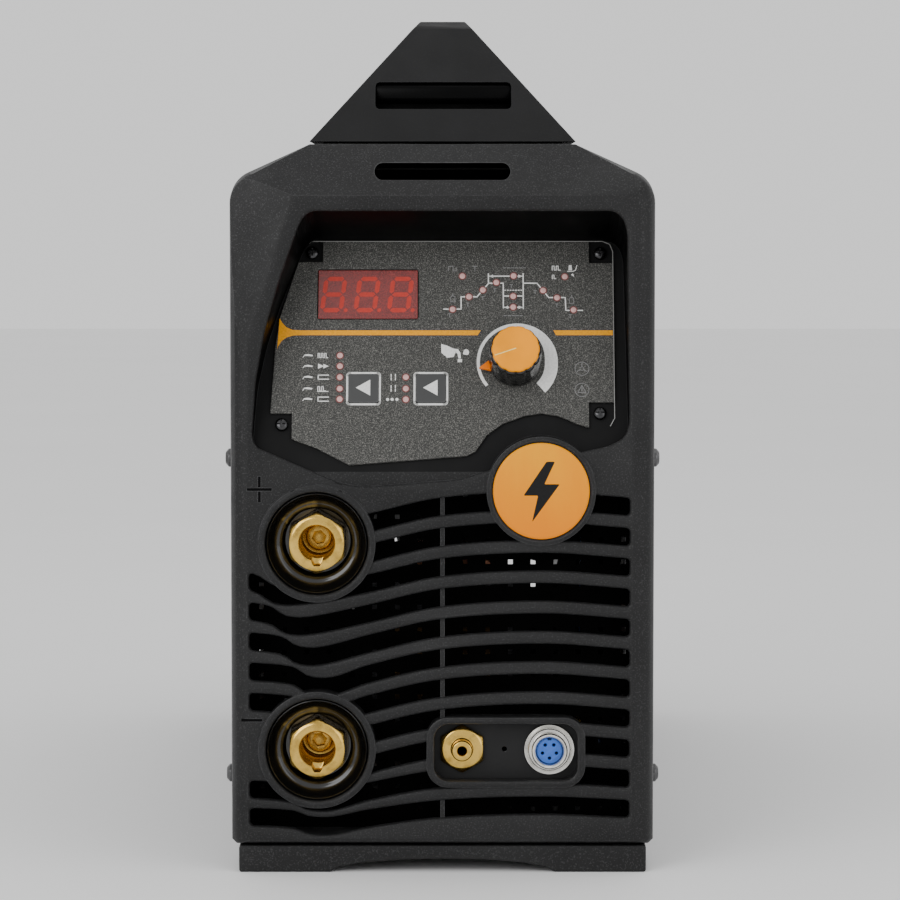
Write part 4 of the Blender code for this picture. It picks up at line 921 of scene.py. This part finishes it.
def dial_crescent():
    """The scale round the knob, thin at its start and wide at its end."""
    outer = []
    inner = []
    steps = 72
    for i in range(steps + 1):
        angle = 219.0 - 268.0 * i / steps
        share = min(max((105.0 - angle) / 110.0, 0.0), 1.0)
        share = share * share * (3.0 - 2.0 * share)
        width = 1.2 + 3.7 * share
        turn = math.radians(angle)
        reach = 15.2 + 0.6 * min(max(-angle / 49.0, 0.0), 1.0)
        outer.append((28.0 + reach * math.cos(turn), 39.9 + reach * math.sin(turn)))
        inner.append((28.0 + (reach - width) * math.cos(turn), 39.9 + (reach - width) * math.sin(turn)))
    return [[outer[i], outer[i + 1], inner[i + 1], inner[i]] for i in range(steps)]


def square_wave(u, v, step=0.85, height=0.85, cycles=2):
    """A small pulse train icon."""
    path = [(u, v - height)]
    for i in range(cycles):
        at = u + 2 * i * step
        path += [(at, v + height), (at + step, v + height)]
        path += [(at + step, v - height), (at + 2 * step, v - height)]
    return stroke(path, 0.32)


def torch_icon(u, v):
    """A small tapering electrode holder."""
    return [
        [(u, v - 0.75), (u + 0.35, v - 0.7), (u + 1.0, v + 0.25), (u + 0.7, v + 0.35)],
        [(u + 0.7, v - 0.1), (u + 3.6, v - 0.3), (u + 3.9, v + 0.15), (u + 2.2, v + 0.55), (u + 0.8, v + 0.35)],
    ]


def mode_icons():
    """The white marks beside the two rows of lamps."""
    rows = (42.5, 38.3, 34.0, 29.5, 25.4)
    marks = []
    for v in rows:
        marks += torch_icon(-52.4, v)
    marks += square_wave(-46.6, rows[0], 0.6, 0.85, 3)
    v = rows[1]
    marks.append([(-46.6, v - 1.0), (-44.3, v), (-46.6, v + 1.0)])
    marks.append([(-44.6, v - 0.9), (-42.6, v), (-44.6, v + 0.9)])
    for v in (rows[2], rows[4]):
        marks += stroke([(-42.6, v + 0.8), (-46.5, v + 0.8), (-46.5, v - 0.8), (-42.6, v - 0.8)], 0.36)
    marks += square_wave(-46.6, rows[3], 0.7, 0.85, 2)
    marks += stroke([(-46.6, rows[3] - 1.1), (-42.8, rows[3] - 1.1)], 0.3)
    for v in (34.0, 29.6):
        for u in (-19.2, -17.6):
            marks += stroke([(u, v - 1.1), (u, v - 0.25)], 0.34)
            marks += stroke([(u, v + 0.3), (u, v + 1.1)], 0.34)
    for u in (-20.5, -18.8, -17.0):
        marks.append(circle(0.58, 16, (u, 25.3)))
    return marks


def diagram_lines():
    """The welding cycle: start current, slopes, pulse levels and end current."""
    thick = 0.42
    lines = stroke([
        (0.5, 60.8), (7.0, 60.8), (7.0, 65.7), (13.0, 65.7), (17.4, 71.1), (22.9, 71.1), (22.9, 61.3),
    ], thick)
    lines += stroke([(17.3, 74.8), (17.3, 71.1)], thick)
    lines += stroke([(17.6, 73.9), (30.2, 73.9)], thick)
    lines += stroke([(30.4, 74.9), (30.4, 61.0)], thick)
    lines += stroke([(22.9, 61.5), (30.3, 61.5)], thick)
    lines += stroke([(22.9, 66.0), (30.3, 66.0)], thick)
    lines += dashes((23.2, 68.3), (30.3, 68.3), 7, 0.3)
    lines += stroke([
        (30.4, 71.1), (35.6, 71.1), (40.0, 65.4), (46.2, 65.4), (46.4, 60.3), (52.6, 60.3),
    ], thick)
    for tip, v, way in ((17.6, 73.9, 1), (30.1, 73.9, -1), (23.2, 61.5, 1), (30.1, 61.5, -1)):
        head = [(tip, v), (tip + way * 1.5, v + 0.65), (tip + way * 1.5, v - 0.65)]
        lines.append(head if way < 0 else head[::-1])
    return lines


def faint_icons():
    """Small grey marks: gas bottles, pulse shapes and two ringed symbols."""
    marks = []
    for u, v in ((3.9, 64.9), (48.6, 64.3)):
        marks += stroke([
            (u - 0.8, v - 1.2), (u - 0.8, v + 0.7), (u, v + 1.3), (u + 0.8, v + 0.7), (u + 0.8, v - 1.2),
            (u - 0.8, v - 1.2),
        ], 0.26)
        marks += stroke([(u, v + 1.4), (u, v + 2.0)], 0.3)
    captions = (
        (9.5, 62.6), (15.2, 65.2), (19.7, 68.3), (25.9, 69.9),
        (34.9, 67.6), (43.0, 62.3), (48.0, 58.0), (2.7, 58.4),
    )
    for u, v in captions:
        marks += stroke([(u - 0.5, v + 0.6), (u + 0.5, v + 0.6)], 0.26)
        marks += stroke([(u, v + 0.6), (u, v - 0.7)], 0.26)
    marks += stroke([(2.2, 76.0), (2.2, 77.8), (4.0, 77.8), (4.0, 76.0), (5.2, 76.0), (5.2, 77.2)], 0.26)
    marks += stroke([(11.4, 77.8), (13.0, 77.8)], 0.26) + stroke([(12.2, 77.8), (12.2, 76.2)], 0.26)
    for u in (23.4, 24.9, 26.4, 27.9, 29.4, 30.9):
        marks += stroke([(u - 0.5, 77.2), (u + 0.5, 77.2)], 0.3)
    for u in (23.6, 25.1, 26.6, 28.1, 29.6):
        marks += stroke([(u - 0.5, 58.2), (u + 0.5, 58.2)], 0.3)
    marks += circle_line((52.2, 37.3), 2.6, 0.24)
    marks += circle_line((52.2, 37.3), 0.7, 0.2, 12)
    for angle in (90.0, 210.0, 330.0):
        turn = math.radians(angle)
        marks += stroke([(52.2 + 0.8 * math.cos(turn), 37.3 + 0.8 * math.sin(turn)),
                         (52.2 + 2.0 * math.cos(turn), 37.3 + 2.0 * math.sin(turn))], 0.3)
    marks += circle_line((52.1, 29.0), 2.6, 0.24)
    marks += stroke([(50.6, 28.0), (52.1, 30.8), (53.6, 28.0), (50.6, 28.0)], 0.24)
    marks += stroke([(52.1, 28.6), (52.1, 29.8)], 0.3)
    return marks


def bright_icons():
    """White marks near the top right of the panel, and the hand that turns the knob."""
    marks = square_wave(41.4, 77.1, 0.75, 0.8, 2)
    marks += square_wave(41.4, 73.6, 0.65, 0.7, 1)
    marks += [[(47.5, 76.2), (48.9, 76.2), (48.7, 78.3), (47.7, 78.3)]]
    marks += stroke([(47.2, 75.8), (49.2, 75.8), (50.2, 76.3), (50.7, 78.1)], 0.3)
    marks += [[(48.4, 74.5), (49.7, 73.6), (49.2, 75.0)]]
    hand = [
        (-0.5, 47.0), (-0.4, 43.6), (0.6, 42.6), (1.2, 42.3), (1.6, 41.6), (2.9, 41.8),
        (4.2, 41.9), (4.5, 42.8), (5.0, 43.9), (4.2, 45.2), (1.6, 46.4),
    ]
    finger = [(4.2, 45.2), (4.8, 43.9), (5.6, 43.2), (6.0, 41.3), (6.9, 41.4), (6.7, 43.6), (5.8, 45.0)]
    marks += [hand, finger, [(5.7, 39.9), (7.3, 39.9), (7.3, 41.1), (5.7, 41.1)]]
    marks.append(smooth_outline([(7.5, 43.0), (9.6, 42.6), (10.1, 43.8), (9.4, 45.0), (8.2, 44.9)], 0.5, 3))
    return marks


def digit_segments(middle):
    """The seven bars and the point of one slanted digit."""
    half_u, half_v, thick = 3.5, 6.2, 1.7
    bars = []
    for v in (half_v, 0.0, -half_v):
        tip = thick / 2.0
        bars.append([(-half_u + 0.3, v), (-half_u + 0.3 + tip, v - tip), (half_u - 0.3 - tip, v - tip),
                     (half_u - 0.3, v), (half_u - 0.3 - tip, v + tip), (-half_u + 0.3 + tip, v + tip)])
    for u in (-half_u, half_u):
        for low in (-half_v, 0.0):
            tip = thick / 2.0
            high = low + half_v
            bars.append([(u, low + 0.35), (u + tip, low + 0.35 + tip), (u + tip, high - 0.35 - tip),
                         (u, high - 0.35), (u - tip, high - 0.35 - tip), (u - tip, low + 0.35 + tip)])
    bars.append(circle(0.75, 14, (half_u + 1.9, -half_v)))
    return [[(middle[0] + u + 0.13 * v, middle[1] + v) for u, v in bar] for bar in bars]


def orange_stripe():
    """The stripe across the panel, flared where it meets the left edge."""
    flare = [(-61.95, 44.9)]
    flare += [(-61.7, 46.0), (-60.4, 48.2), (-58.4, 49.7), (-56.0, 50.4), (-53.0, 50.5)]
    flare += [(-53.0, 52.4), (-56.3, 52.6), (-58.6, 53.6), (-60.2, 55.4), (-61.2, 57.2)]
    return [
        flare,
        [(-53.0, 50.5), (13.2, 50.5), (14.4, 52.4), (-53.0, 52.4)],
        [(42.6, 50.5), (63.9, 50.5), (63.9, 52.4), (41.6, 52.4)],
    ]


def lamps(name, spots):
    """Small domed lamps standing just proud of the film."""
    domes = [turned([(1.12, 0.0), (1.10, -0.14), (0.86, -0.26), (0.45, -0.32)], 20, spot) for spot in spots]
    item = new_object(name, merged(*domes), MAT["led"], PANEL)
    item.data.shade_smooth()
    piece(name, item, "case", "display_red")


def make_panel_prints():
    """Everything printed or set on the panel, with a painted highlight along the film's edge."""
    ink("stripe_print", orange_stripe(), MAT["ink_orange"], "orange_plastic")
    ink("dial_print", dial_crescent(), MAT["ink_white"], "button_white")
    ink("diagram_print", diagram_lines(), MAT["ink_white"], "button_white")
    ink("mode_print", mode_icons() + bright_icons(), MAT["ink_white"], "button_white")
    ink("faint_print", faint_icons(), MAT["ink_grey"], "button_white")
    columns = [(-38.4, v) for v in (42.5, 38.3, 34.0, 29.5, 25.4)] + [(-13.7, v) for v in (34.0, 29.5, 25.3)]
    cycle = [
        (7.5, 73.9), (26.8, 74.0), (46.1, 73.7), (3.8, 60.7), (10.0, 65.7), (15.2, 68.4), (20.3, 71.4),
        (26.6, 65.9), (26.6, 61.6), (37.9, 68.2), (43.1, 65.3), (49.3, 60.5),
    ]
    wells = [circle(1.5, 20, spot) for spot in columns + cycle]
    ink("lamp_wells", wells, MAT["lamp_rim"], "panel_film", front=-0.07, back=-0.0)
    lamps("lamps", columns + cycle)
    digits = [bar for u in (-41.0, -28.4, -15.8) for bar in digit_segments((u, 66.7))]
    ink("display_digits", digits, MAT["digit"], "display_red", front=0.24, back=0.30)

    for label, u in (("button_left", -29.5), ("button_right", -4.35)):
        arrow = [(u - 2.9, 29.7), (u + 2.5, 26.6), (u + 2.5, 32.8)]
        ink(label + "_mark", [arrow], MAT["ink_white"], "button_white", label, front=-0.76, back=-0.7)
        ring = frame_line((u, 29.5), (6.1, 6.1), 1.0, 0.75)
        ink(label + "_frame", ring, MAT["ink_white"], "button_white")

    outline = [(-34.6, -0.1), (8.8, 3.4), (12.2, 5.1), (16.6, 11.5), (22.5, 15.9), (30.4, 18.8), (36.8, 19.9),
               (43.3, 18.8), (49.9, 15.9), (54.2, 14.4), (62.6, 15.0), (64.2, 18.0), (64.3, 83.7), (63.2, 86.6),
               (60.4, 87.8), (-49.2, 87.8), (-51.6, 86.4), (-53.2, 83.4), (-61.1, 57.7), (-62.7, 46.2),
               (-64.2, 20.9), (-63.9, 13.0), (-46.6, 6.2)]
    # A painted highlight: a light grey line along the film's right and top edges.
    edge_highlights = []
    for a, b in zip(outline[10:17], outline[11:18]):
        edge_highlights += stroke([a, b], 0.28)
    ink("film_edge_light", edge_highlights, MAT["painted_edge_highlight"], "panel_film", front=-0.03, back=0.02)


# ---------------------------------------------------------------- knob

def knob_matrix():
    """The knob's own frame: origin on the film, Y into the panel."""
    shift = Matrix.Translation((KNOB_U * MM, 0.0, KNOB_V * MM))
    return PANEL @ shift


def fluted(radius, depth, lobes, count, y):
    """A ring with shallow flutes."""
    ring = []
    for i in range(count):
        turn = 2.0 * math.pi * i / count
        reach = radius - depth * (0.5 - 0.5 * math.cos(lobes * turn)) ** 3
        ring.append((reach * math.cos(turn), y, reach * math.sin(turn)))
    return ring


def make_knob():
    """Fluted black skirt, orange cap, pointer line and pointer wedge."""
    place = knob_matrix()
    count = 168
    levels = ((9.0, 0.15, -15.15), (9.45, 0.30, -14.7), (9.6, 0.45, -13.8), (9.75, 0.5, -9.0), (9.9, 0.5, -3.0),
              (9.9, 0.1, -2.6), (9.9, 0.0, -1.5), (9.7, 0.0, -1.1))
    rings = [fluted(radius, depth, 14, count, y) for radius, depth, y in levels]
    rings += [ring_at(3.3, y, count) for y in (-1.1, -12.6)]
    skirt = new_object("knob_skirt", skin(rings), MAT["knob"], place)
    soften(skirt, 0.0, smooth=50.0)
    piece("knob_skirt", skirt, "knob", "gloss_black", "control_knob")

    levels = (
        (6.5, 0.0, -17.0), (8.1, 0.05, -17.0), (8.55, 0.12, -16.85),
        (8.85, 0.2, -16.45), (8.9, 0.25, -15.9), (8.8, 0.25, -15.2),
    )
    rings = [fluted(radius, depth, 14, count, y) for radius, depth, y in levels]
    cap = new_object("knob_top", skin(rings), MAT["orange_gloss"], place)
    soften(cap, 0.0, smooth=50.0)
    piece("knob_top", cap, "knob", "orange_plastic", "knob_cap")

    turn = math.radians(199.0)
    far = (8.0 * math.cos(turn), 8.0 * math.sin(turn))
    line = stroke([(0.0, 0.0), far], 0.42)
    ink("knob_line", line, MAT["ink_cream"], "button_white", "knob", place, -17.04, -16.98)
    turn = math.radians(193.0)
    out = Vector((math.cos(turn), math.sin(turn)))
    side = Vector((-out.y, out.x))
    wedge = [tuple(out * 9.4 + side * 2.1), tuple(out * 13.9), tuple(out * 9.4 - side * 2.1)]
    item = new_object("knob_wedge", prism_y(wedge, -3.2, -1.3), MAT["orange"], place)
    soften(item, 0.25)
    piece("knob_wedge", item, "knob", "orange_plastic")


# ---------------------------------------------------------------- sockets

def hexagon_ring(corner_radius, y, per_side, spot, limit=None):
    """A hexagon, its corners cut to a circle when a limit is given."""
    ring = []
    corners = circle(corner_radius, 6, start=HEXAGON_START)
    for i in range(6):
        a, b = Vector(corners[i]), Vector(corners[(i + 1) % 6])
        for k in range(per_side):
            point = a.lerp(b, k / per_side)
            if limit is not None and point.length > limit:
                point = point.normalized() * limit
            ring.append((spot[0] + point.x, y, spot[1] + point.y))
    return ring


def make_socket(label, spot):
    """Glossy insulator dish, brass hexagon with bore and keyway, and its clamping screw."""
    count = 96
    dish = [
        (9.7, -186.0), (9.7, -199.6), (12.2, -199.7), (12.5, -200.2), (12.6, -207.0), (13.2, -207.6),
        (14.4, -207.9), (15.6, -208.3), (16.6, -209.3), (17.3, -210.8),
        (17.8, -212.3), (18.05, -213.1), (18.35, -213.45), (18.7, -213.3), (18.85, -212.8), (18.9, -203.2),
        (16.4, -203.0), (16.4, -186.0),
    ]
    item = new_object("dish", turned_ring(dish, count, spot), MAT["gloss"])
    soften(item, 0.0, smooth=45.0)
    piece(label + "_dish", item, "case", "gloss_black", "socket_" + label + "_insulator")

    back = high_mm("socket_" + label + "_contact").y
    corner = CONTACT_HALF_FLATS / math.cos(math.radians(30.0))
    face = ((7.4, -213.0), (9.2, -213.0), (9.55, -212.9))
    rings = [ring_at(radius, y, count, spot, HEXAGON_START) for radius, y in face]
    for limit, y in ((10.2, -212.6), (10.7, -212.15), (11.3, -211.7)):
        rings.append(hexagon_ring(corner, y, 16, spot, limit))
    rings.append(hexagon_ring(corner, -200.0, 16, spot))
    rings += [ring_at(9.4, y, count, spot, HEXAGON_START) for y in (-200.0, back)]
    nut = new_object("nut", skin(rings), MAT["brass"])
    screw_front = low_mm("socket_" + label + "_screw").y
    bore = [(7.1, -214.0), (7.1, -213.0), (6.6, -212.5), (6.5, -212.0), (6.5, screw_front + 6.0)]
    boolean(nut, "DIFFERENCE", turned(bore, 72, spot))
    key = [(-2.4, -4.0), (-1.9, -7.2), (-1.1, -8.5), (1.1, -8.5), (1.9, -7.2), (2.4, -4.0)]
    boolean(nut, "DIFFERENCE", prism_y([(spot[0] + x, spot[1] + z) for x, z in key], -216.0, -203.0))
    boolean(nut, "DIFFERENCE", turned([(3.4, screw_front), (3.4, back + 3.0)], 32, spot))
    soften(nut, 0.12, 2, 30.0, 32.0)
    piece(label + "_contact", nut, "case", "brass", "socket_" + label + "_contact")

    screw_back = high_mm("socket_" + label + "_screw").y
    profile = [
        (3.9, screw_front), (4.5, screw_front + 0.15), (4.9, screw_front + 0.6), (5.0, screw_front + 1.2),
        (5.0, screw_front + 5.7), (3.0, screw_front + 5.7), (3.0, screw_back),
    ]
    screw = new_object("screw", turned(profile, 64, spot), MAT["brass_dark"])
    hexagon = [(spot[0] + x, spot[1] + z) for x, z in circle(2.75, 6, start=0.2)]
    boolean(screw, "DIFFERENCE", prism_y(hexagon, screw_front - 1.0, screw_front + 3.2))
    soften(screw, 0.1, 2, 30.0, 32.0)
    piece(label + "_screw", screw, "case", "brass", "socket_" + label + "_screw")


def make_gas_outlet():
    """Brass hexagon with a short nipple and its bore."""
    spot = GAS_OUTLET
    front = low_mm("gas_outlet_fitting").y
    back = high_mm("gas_outlet_fitting").y
    corner = OUTLET_HALF_FLATS / math.cos(math.radians(30.0))
    face = OUTLET_FACE

    def ring(radius, y):
        return ring_at(radius, y, 96, spot, HEXAGON_START)

    rings = [ring(2.9, front), (ring(3.5, front + 0.15)), ring(3.85, front + 0.6), ring(3.95, front + 1.2)]
    rings += [ring(3.95, face - 0.5), ring(4.3, face - 0.1), ring(6.8, face), ring(7.4, face + 0.1)]
    for limit, y in ((7.9, face + 0.45), (8.4, face + 0.8), (8.9, face + 1.15)):
        rings.append(hexagon_ring(corner, y, 16, spot, limit))
    foot = PLATE_FRONT - 0.3
    rings += [hexagon_ring(corner, foot, 16, spot), ring(6.4, foot), ring(6.4, -199.0)]
    rings += [ring(3.2, -199.0), ring(3.2, back)]
    outlet = new_object("outlet", skin(rings), MAT["brass"])
    way = turned([(2.2, front - 1.0), (2.0, front), (1.6, front + 0.6), (1.6, back + 1.0)], 40, spot)
    boolean(outlet, "DIFFERENCE", way)
    soften(outlet, 0.08, 2, 30.0, 32.0)
    piece("gas_outlet", outlet, "case", "brass", "gas_outlet_fitting")


def make_torch_socket():
    """Nickel flange and barrel round a blue five-hole insert with a key at the top."""
    spot = TORCH_SOCKET
    front = low_mm("torch_socket_shell").y
    back = high_mm("torch_socket_shell").y
    shell = [
        (5.05, back), (5.05, front + 0.9), (5.35, front + 0.35), (5.75, front), (6.3, front),
        (6.6, front + 0.25), (6.75, front + 0.8), (6.75, FLANGE_FACE - 0.1), (7.2, FLANGE_FACE),
        (7.6, FLANGE_FACE), (7.9, FLANGE_FACE + 0.3),
        (8.0, FLANGE_FACE + 0.9), (9.3, PLATE_FRONT - 1.5), (9.4, PLATE_FRONT - 1.2), (9.4, PLATE_FRONT - 0.3),
        (7.4, PLATE_FRONT - 0.3), (7.4, back),
    ]
    item = new_object("shell", turned_ring(shell, 96, spot), MAT["nickel"])
    soften(item, 0.0, smooth=35.0)
    piece("torch_socket_ring", item, "case", "nickel", "torch_socket_shell")

    face = low_mm("torch_socket_insert").y
    far = high_mm("torch_socket_insert").y
    profile = [(4.4, face), (4.75, face + 0.2), (4.9, face + 0.7), (4.9, far)]
    insert = new_object("insert", turned(profile, 72, spot), MAT["blue"])
    holes = []
    for angle in (126.0, 54.0, -18.0, -90.0, 198.0):
        turn = math.radians(angle)
        at = (spot[0] + 2.75 * math.cos(turn), spot[1] + 2.75 * math.sin(turn))
        holes.append(turned([(1.0, face - 1.0), (0.8, face), (0.62, face + 0.25), (0.62, face + 6.0)], 20, at))
    holes.append(box((spot[0] - 0.75, face - 1.0, spot[1] + 4.0), (spot[0] + 0.75, face + 3.0, spot[1] + 6.0)))
    boolean(insert, "DIFFERENCE", merged(*holes))
    soften(insert, 0.06, 1, 30.0, 32.0)
    piece("torch_socket_core", insert, "case", "insert_blue", "torch_socket_insert")


def make_badge():
    """Orange disc with a plain bolt mark."""
    front = low_mm("badge_disc").y
    disc = [(14.0, front), (17.0, front), (17.6, front + 0.12), (17.95, front + 0.45), (18.0, front + 1.3)]
    item = new_object("disc", turned(disc, 96, BADGE), MAT["badge"])
    soften(item, 0.0, smooth=40.0)
    piece("badge_face", item, "case", "orange_plastic", "badge_disc")
    bolt = [(1.9, 11.0), (-6.6, -1.6), (-1.2, -1.6), (-3.4, -11.4), (6.8, 2.6), (1.1, 2.6), (5.0, 11.0)]
    mark = [(BADGE[0] + x, BADGE[1] + z) for x, z in bolt]
    shape = prism_y(smooth_outline(mark, 0.5, 3), front - 0.04, front + 0.1)
    item = new_object("mark", shape, MAT["ink_black"])
    piece("badge_mark", item, "case", "gloss_black")


# ---------------------------------------------------------------- screws and trim

def cross_screw(name, node, head, spot):
    """A pan-head screw with a cross recess, in the panel's frame."""
    item = new_object(name, turned(head, 40, spot), MAT["screw_head"], PANEL)
    front = min(y for _, y in head)
    long, thin = 1.5, 0.28
    for reach_x, reach_z in ((long, thin), (thin, long)):
        low = (spot[0] - reach_x, front - 1.0, spot[1] - reach_z)
        high = (spot[0] + reach_x, front + 0.9, spot[1] + reach_z)
        boolean(item, "DIFFERENCE", box(low, high), PANEL)
    soften(item, 0.05, 1, 30.0, 35.0)
    piece(name, item, "case", "blackened_steel", node)


def make_panel_screws():
    """The four screws that hold the panel."""
    head = [
        (0.9, -0.72), (1.5, -0.6), (2.05, -0.32), (2.35, 0.05),
        (2.4, 0.5), (2.4, 1.2), (1.3, 1.2), (1.3, 7.0),
    ]
    for label, spot in PANEL_SCREWS.items():
        cross_screw("film_screw_" + label, "panel_screw_" + label, head, spot)


def make_polarity_marks():
    """The recessed bottoms of the moulded plus and minus, coloured in near-black painted shade."""
    item = new_object("marks", polarity_marks(), MAT["pocket"])
    for vertex in item.data.vertices:
        vertex.co.y = (-FACE_Y + 0.29) * MM if vertex.co.y > -FACE_Y * MM else (-FACE_Y + 0.12) * MM
    piece("polarity_marks", item, "case", "case_plastic")


def make_strap_bars():
    """A rounded bar across each strap slot of the handle, for the strap to run round, coloured in near-black
    painted shade.
    """
    for label, side in (("front", -1), ("rear", 1)):
        near, far = side * 169.5, side * 177.2
        bar = smooth_outline([(near, 287.6), (far, 287.6), (far, 295.4), (near, 295.4)], 3.4, 7)
        outline = bar if side > 0 else bar[::-1]
        item = new_object("bar", prism_x(outline, -25.4, 26.0), MAT["pocket"])
        soften(item, 0.3)
        piece("strap_bar_" + label, item, "case", "case_plastic")


def make_fan_guard():
    """Wire rings on four spokes."""
    low, high = low_mm("fan_guard"), high_mm("fan_guard")
    middle = ((low.x + high.x) / 2.0, (low.z + high.z) / 2.0)
    back = low.y
    parts = []
    wire = 1.1
    inner_ring, ring_pitch, ring_count = 12.0, 10.5, 5
    for radius in (inner_ring + ring_pitch * k for k in range(ring_count)):
        section = [(radius + wire * math.cos(a), back + 1.15 + wire * math.sin(a))
                   for a in (math.radians(45.0 * k) for k in range(8))]
        parts.append(turned_ring(section, 96, middle))
    rings = new_object("rings", merged(*parts), MAT["zinc"])
    soften(rings, 0.0, smooth=60.0)
    piece("fan_guard_rings", rings, "case", "zinc_steel", "fan_guard")
    spokes = []
    for angle in (45.0, 135.0, 225.0, 315.0):
        turn = math.radians(angle)
        across = Vector((-math.sin(turn), math.cos(turn)))
        along = Vector((math.cos(turn), math.sin(turn)))
        start, end = along * 5.0, along * 57.0
        outline = [start - across * 0.8, end - across * 0.8, end + across * 0.8, start + across * 0.8]
        outline = [(middle[0] + p.x, middle[1] + p.y) for p in outline]
        spokes.append(prism_y(outline, back + 1.9, back + 3.3))
    item = new_object("spokes", merged(*spokes), MAT["zinc"])
    soften(item, 0.3)
    piece("fan_guard_spokes", item, "case", "zinc_steel")


# ---------------------------------------------------------------- stage

def make_stage():
    """Pale floor, soft lights and the camera."""
    floor_mesh = bmesh.new()
    half = 6.0
    for x, y in ((-half, -half), (half, -half), (half, half), (-half, half)):
        floor_mesh.verts.new((x / MM, y / MM, -0.02))
    floor_mesh.faces.new(list(floor_mesh.verts))
    ground = Graph("stage_floor")
    ground.colour(ground.mix(ground.noise(300.0, 2.0), (0.86, 0.86, 0.86), (0.90, 0.90, 0.90)))
    ground.shader.inputs["Roughness"].default_value = 0.7
    floor = new_object("stage_floor", floor_mesh, ground.material)

    world = bpy.data.worlds.new("studio")
    world.use_nodes = True
    world.node_tree.nodes["Background"].inputs["Color"].default_value = (1.0, 1.0, 1.0, 1.0)
    world.node_tree.nodes["Background"].inputs["Strength"].default_value = 1.0
    bpy.context.scene.world = world

    middle = Vector((0.0, -0.21, 0.16))
    lights = (
        ("key", (-0.8, -1.4, 0.75), 0.9, 9.0),
        ("fill", (1.1, -1.3, 0.55), 1.0, 4.0),
        ("top", (0.1, -0.35, 1.5), 0.8, 2.0),
        ("side_left", (-1.4, 0.2, 0.5), 0.9, 1.0),
        ("side_right", (1.4, 0.2, 0.5), 0.9, 1.0),
    )
    for name, place, size, power in lights:
        data = bpy.data.lights.new(name, "AREA")
        data.shape = "RECTANGLE"
        data.size = size
        data.size_y = size
        data.energy = power
        lamp = bpy.data.objects.new(name, data)
        lamp.location = place
        lamp.rotation_euler = (middle - Vector(place)).to_track_quat("-Z", "Y").to_euler()
        bpy.context.scene.collection.objects.link(lamp)

    camera_data = bpy.data.cameras.new("camera")
    camera_data.lens = 140.5
    camera_data.sensor_width = 36.0
    camera_data.clip_end = 20.0
    camera = bpy.data.objects.new("camera", camera_data)
    camera.location = (0.0017, -1.514, 0.246)
    aim = Vector((0.0028, -0.214, 0.1585))
    camera.rotation_euler = (aim - camera.location).to_track_quat("-Z", "Y").to_euler()
    bpy.context.scene.collection.objects.link(camera)
    bpy.context.scene.camera = camera


# ---------------------------------------------------------------- CAD nodes that stay

KEPT = {
    "coated": ("case_cover", "chassis_tray", "rear_panel", "connector_plate"),
    # The sheet behind the louvres, in near-black painted shade.
    "painted_shade_screen": ("louvre_screen",),
    "case": ("rear_bezel", "front_foot", "rear_foot", "cable_gland_body", "cable_gland_cap"),
    "case_smooth": ("carry_handle",),
    "black_steel": (
        "side_screw_left_upper", "side_screw_left_lower", "side_screw_right_upper", "side_screw_right_lower",
    ),
    "film": ("panel_overlay",),
    "display": ("display_module",),
    "board": ("control_board", "power_board"),
    "key": ("button_left", "button_right"),
    "zinc": ("encoder_body", "valve_plunger"),
    "nickel": ("encoder_plunger", "encoder_shaft"),
    "gloss": ("valve_coil",),
    "brass": ("gas_inlet_fitting", "valve_body"),
    "copper": ("bus_bar_plus", "bus_bar_minus", "ignition_coil"),
    "fan": ("fan_housing", "fan_rotor"),
    "rocker": ("switch_body", "switch_rocker"),
    "aluminium": ("heatsink_left", "heatsink_right"),
    "ferrite": ("transformer_core",),
    "tape": ("transformer_winding",),
    "sleeve": ("bus_capacitor",),
    "hose": ("gas_hose_inlet", "gas_hose_outlet"),
}
EDGE_WIDTHS = {
    "case_cover": 0.3, "rear_bezel": 0.9, "front_foot": 0.8, "rear_foot": 0.8, "carry_handle": 2.2,
    "panel_overlay": 0.25, "display_module": 0.2, "button_left": 0.35, "button_right": 0.35,
}


def finish_cad_nodes():
    """Give each CAD node its material, merge its flat faces and round its edges."""
    for finish, names in KEPT.items():
        for name in names:
            item = NODES[name]
            item.data.materials.clear()
            item.data.materials.append(MAT[finish])
            for face in item.data.polygons:
                face.material_index = 0
            weld = item.modifiers.new("weld", "WELD")
            weld.merge_threshold = 0.00001
            flat = item.modifiers.new("flat", "DECIMATE")
            flat.decimate_type = "DISSOLVE"
            flat.angle_limit = math.radians(0.6)
            edge = item.modifiers.new("edges", "BEVEL")
            edge.width = EDGE_WIDTHS.get(name, 0.25) * MM
            edge.segments = 2
            edge.limit_method = "ANGLE"
            edge.angle_limit = math.radians(32.0)
            item.data.shade_smooth()
            normals = item.modifiers.new("normals", "WEIGHTED_NORMAL")
            normals.keep_sharp = True


make_stage()
finish_cad_nodes()
make_front_bezel()
make_panel_prints()
make_knob()
for socket_label, socket_spot in (("plus", PLUS), ("minus", MINUS)):
    make_socket(socket_label, socket_spot)
make_gas_outlet()
make_torch_socket()
make_badge()
make_panel_screws()
make_polarity_marks()
make_strap_bars()
make_fan_guard()
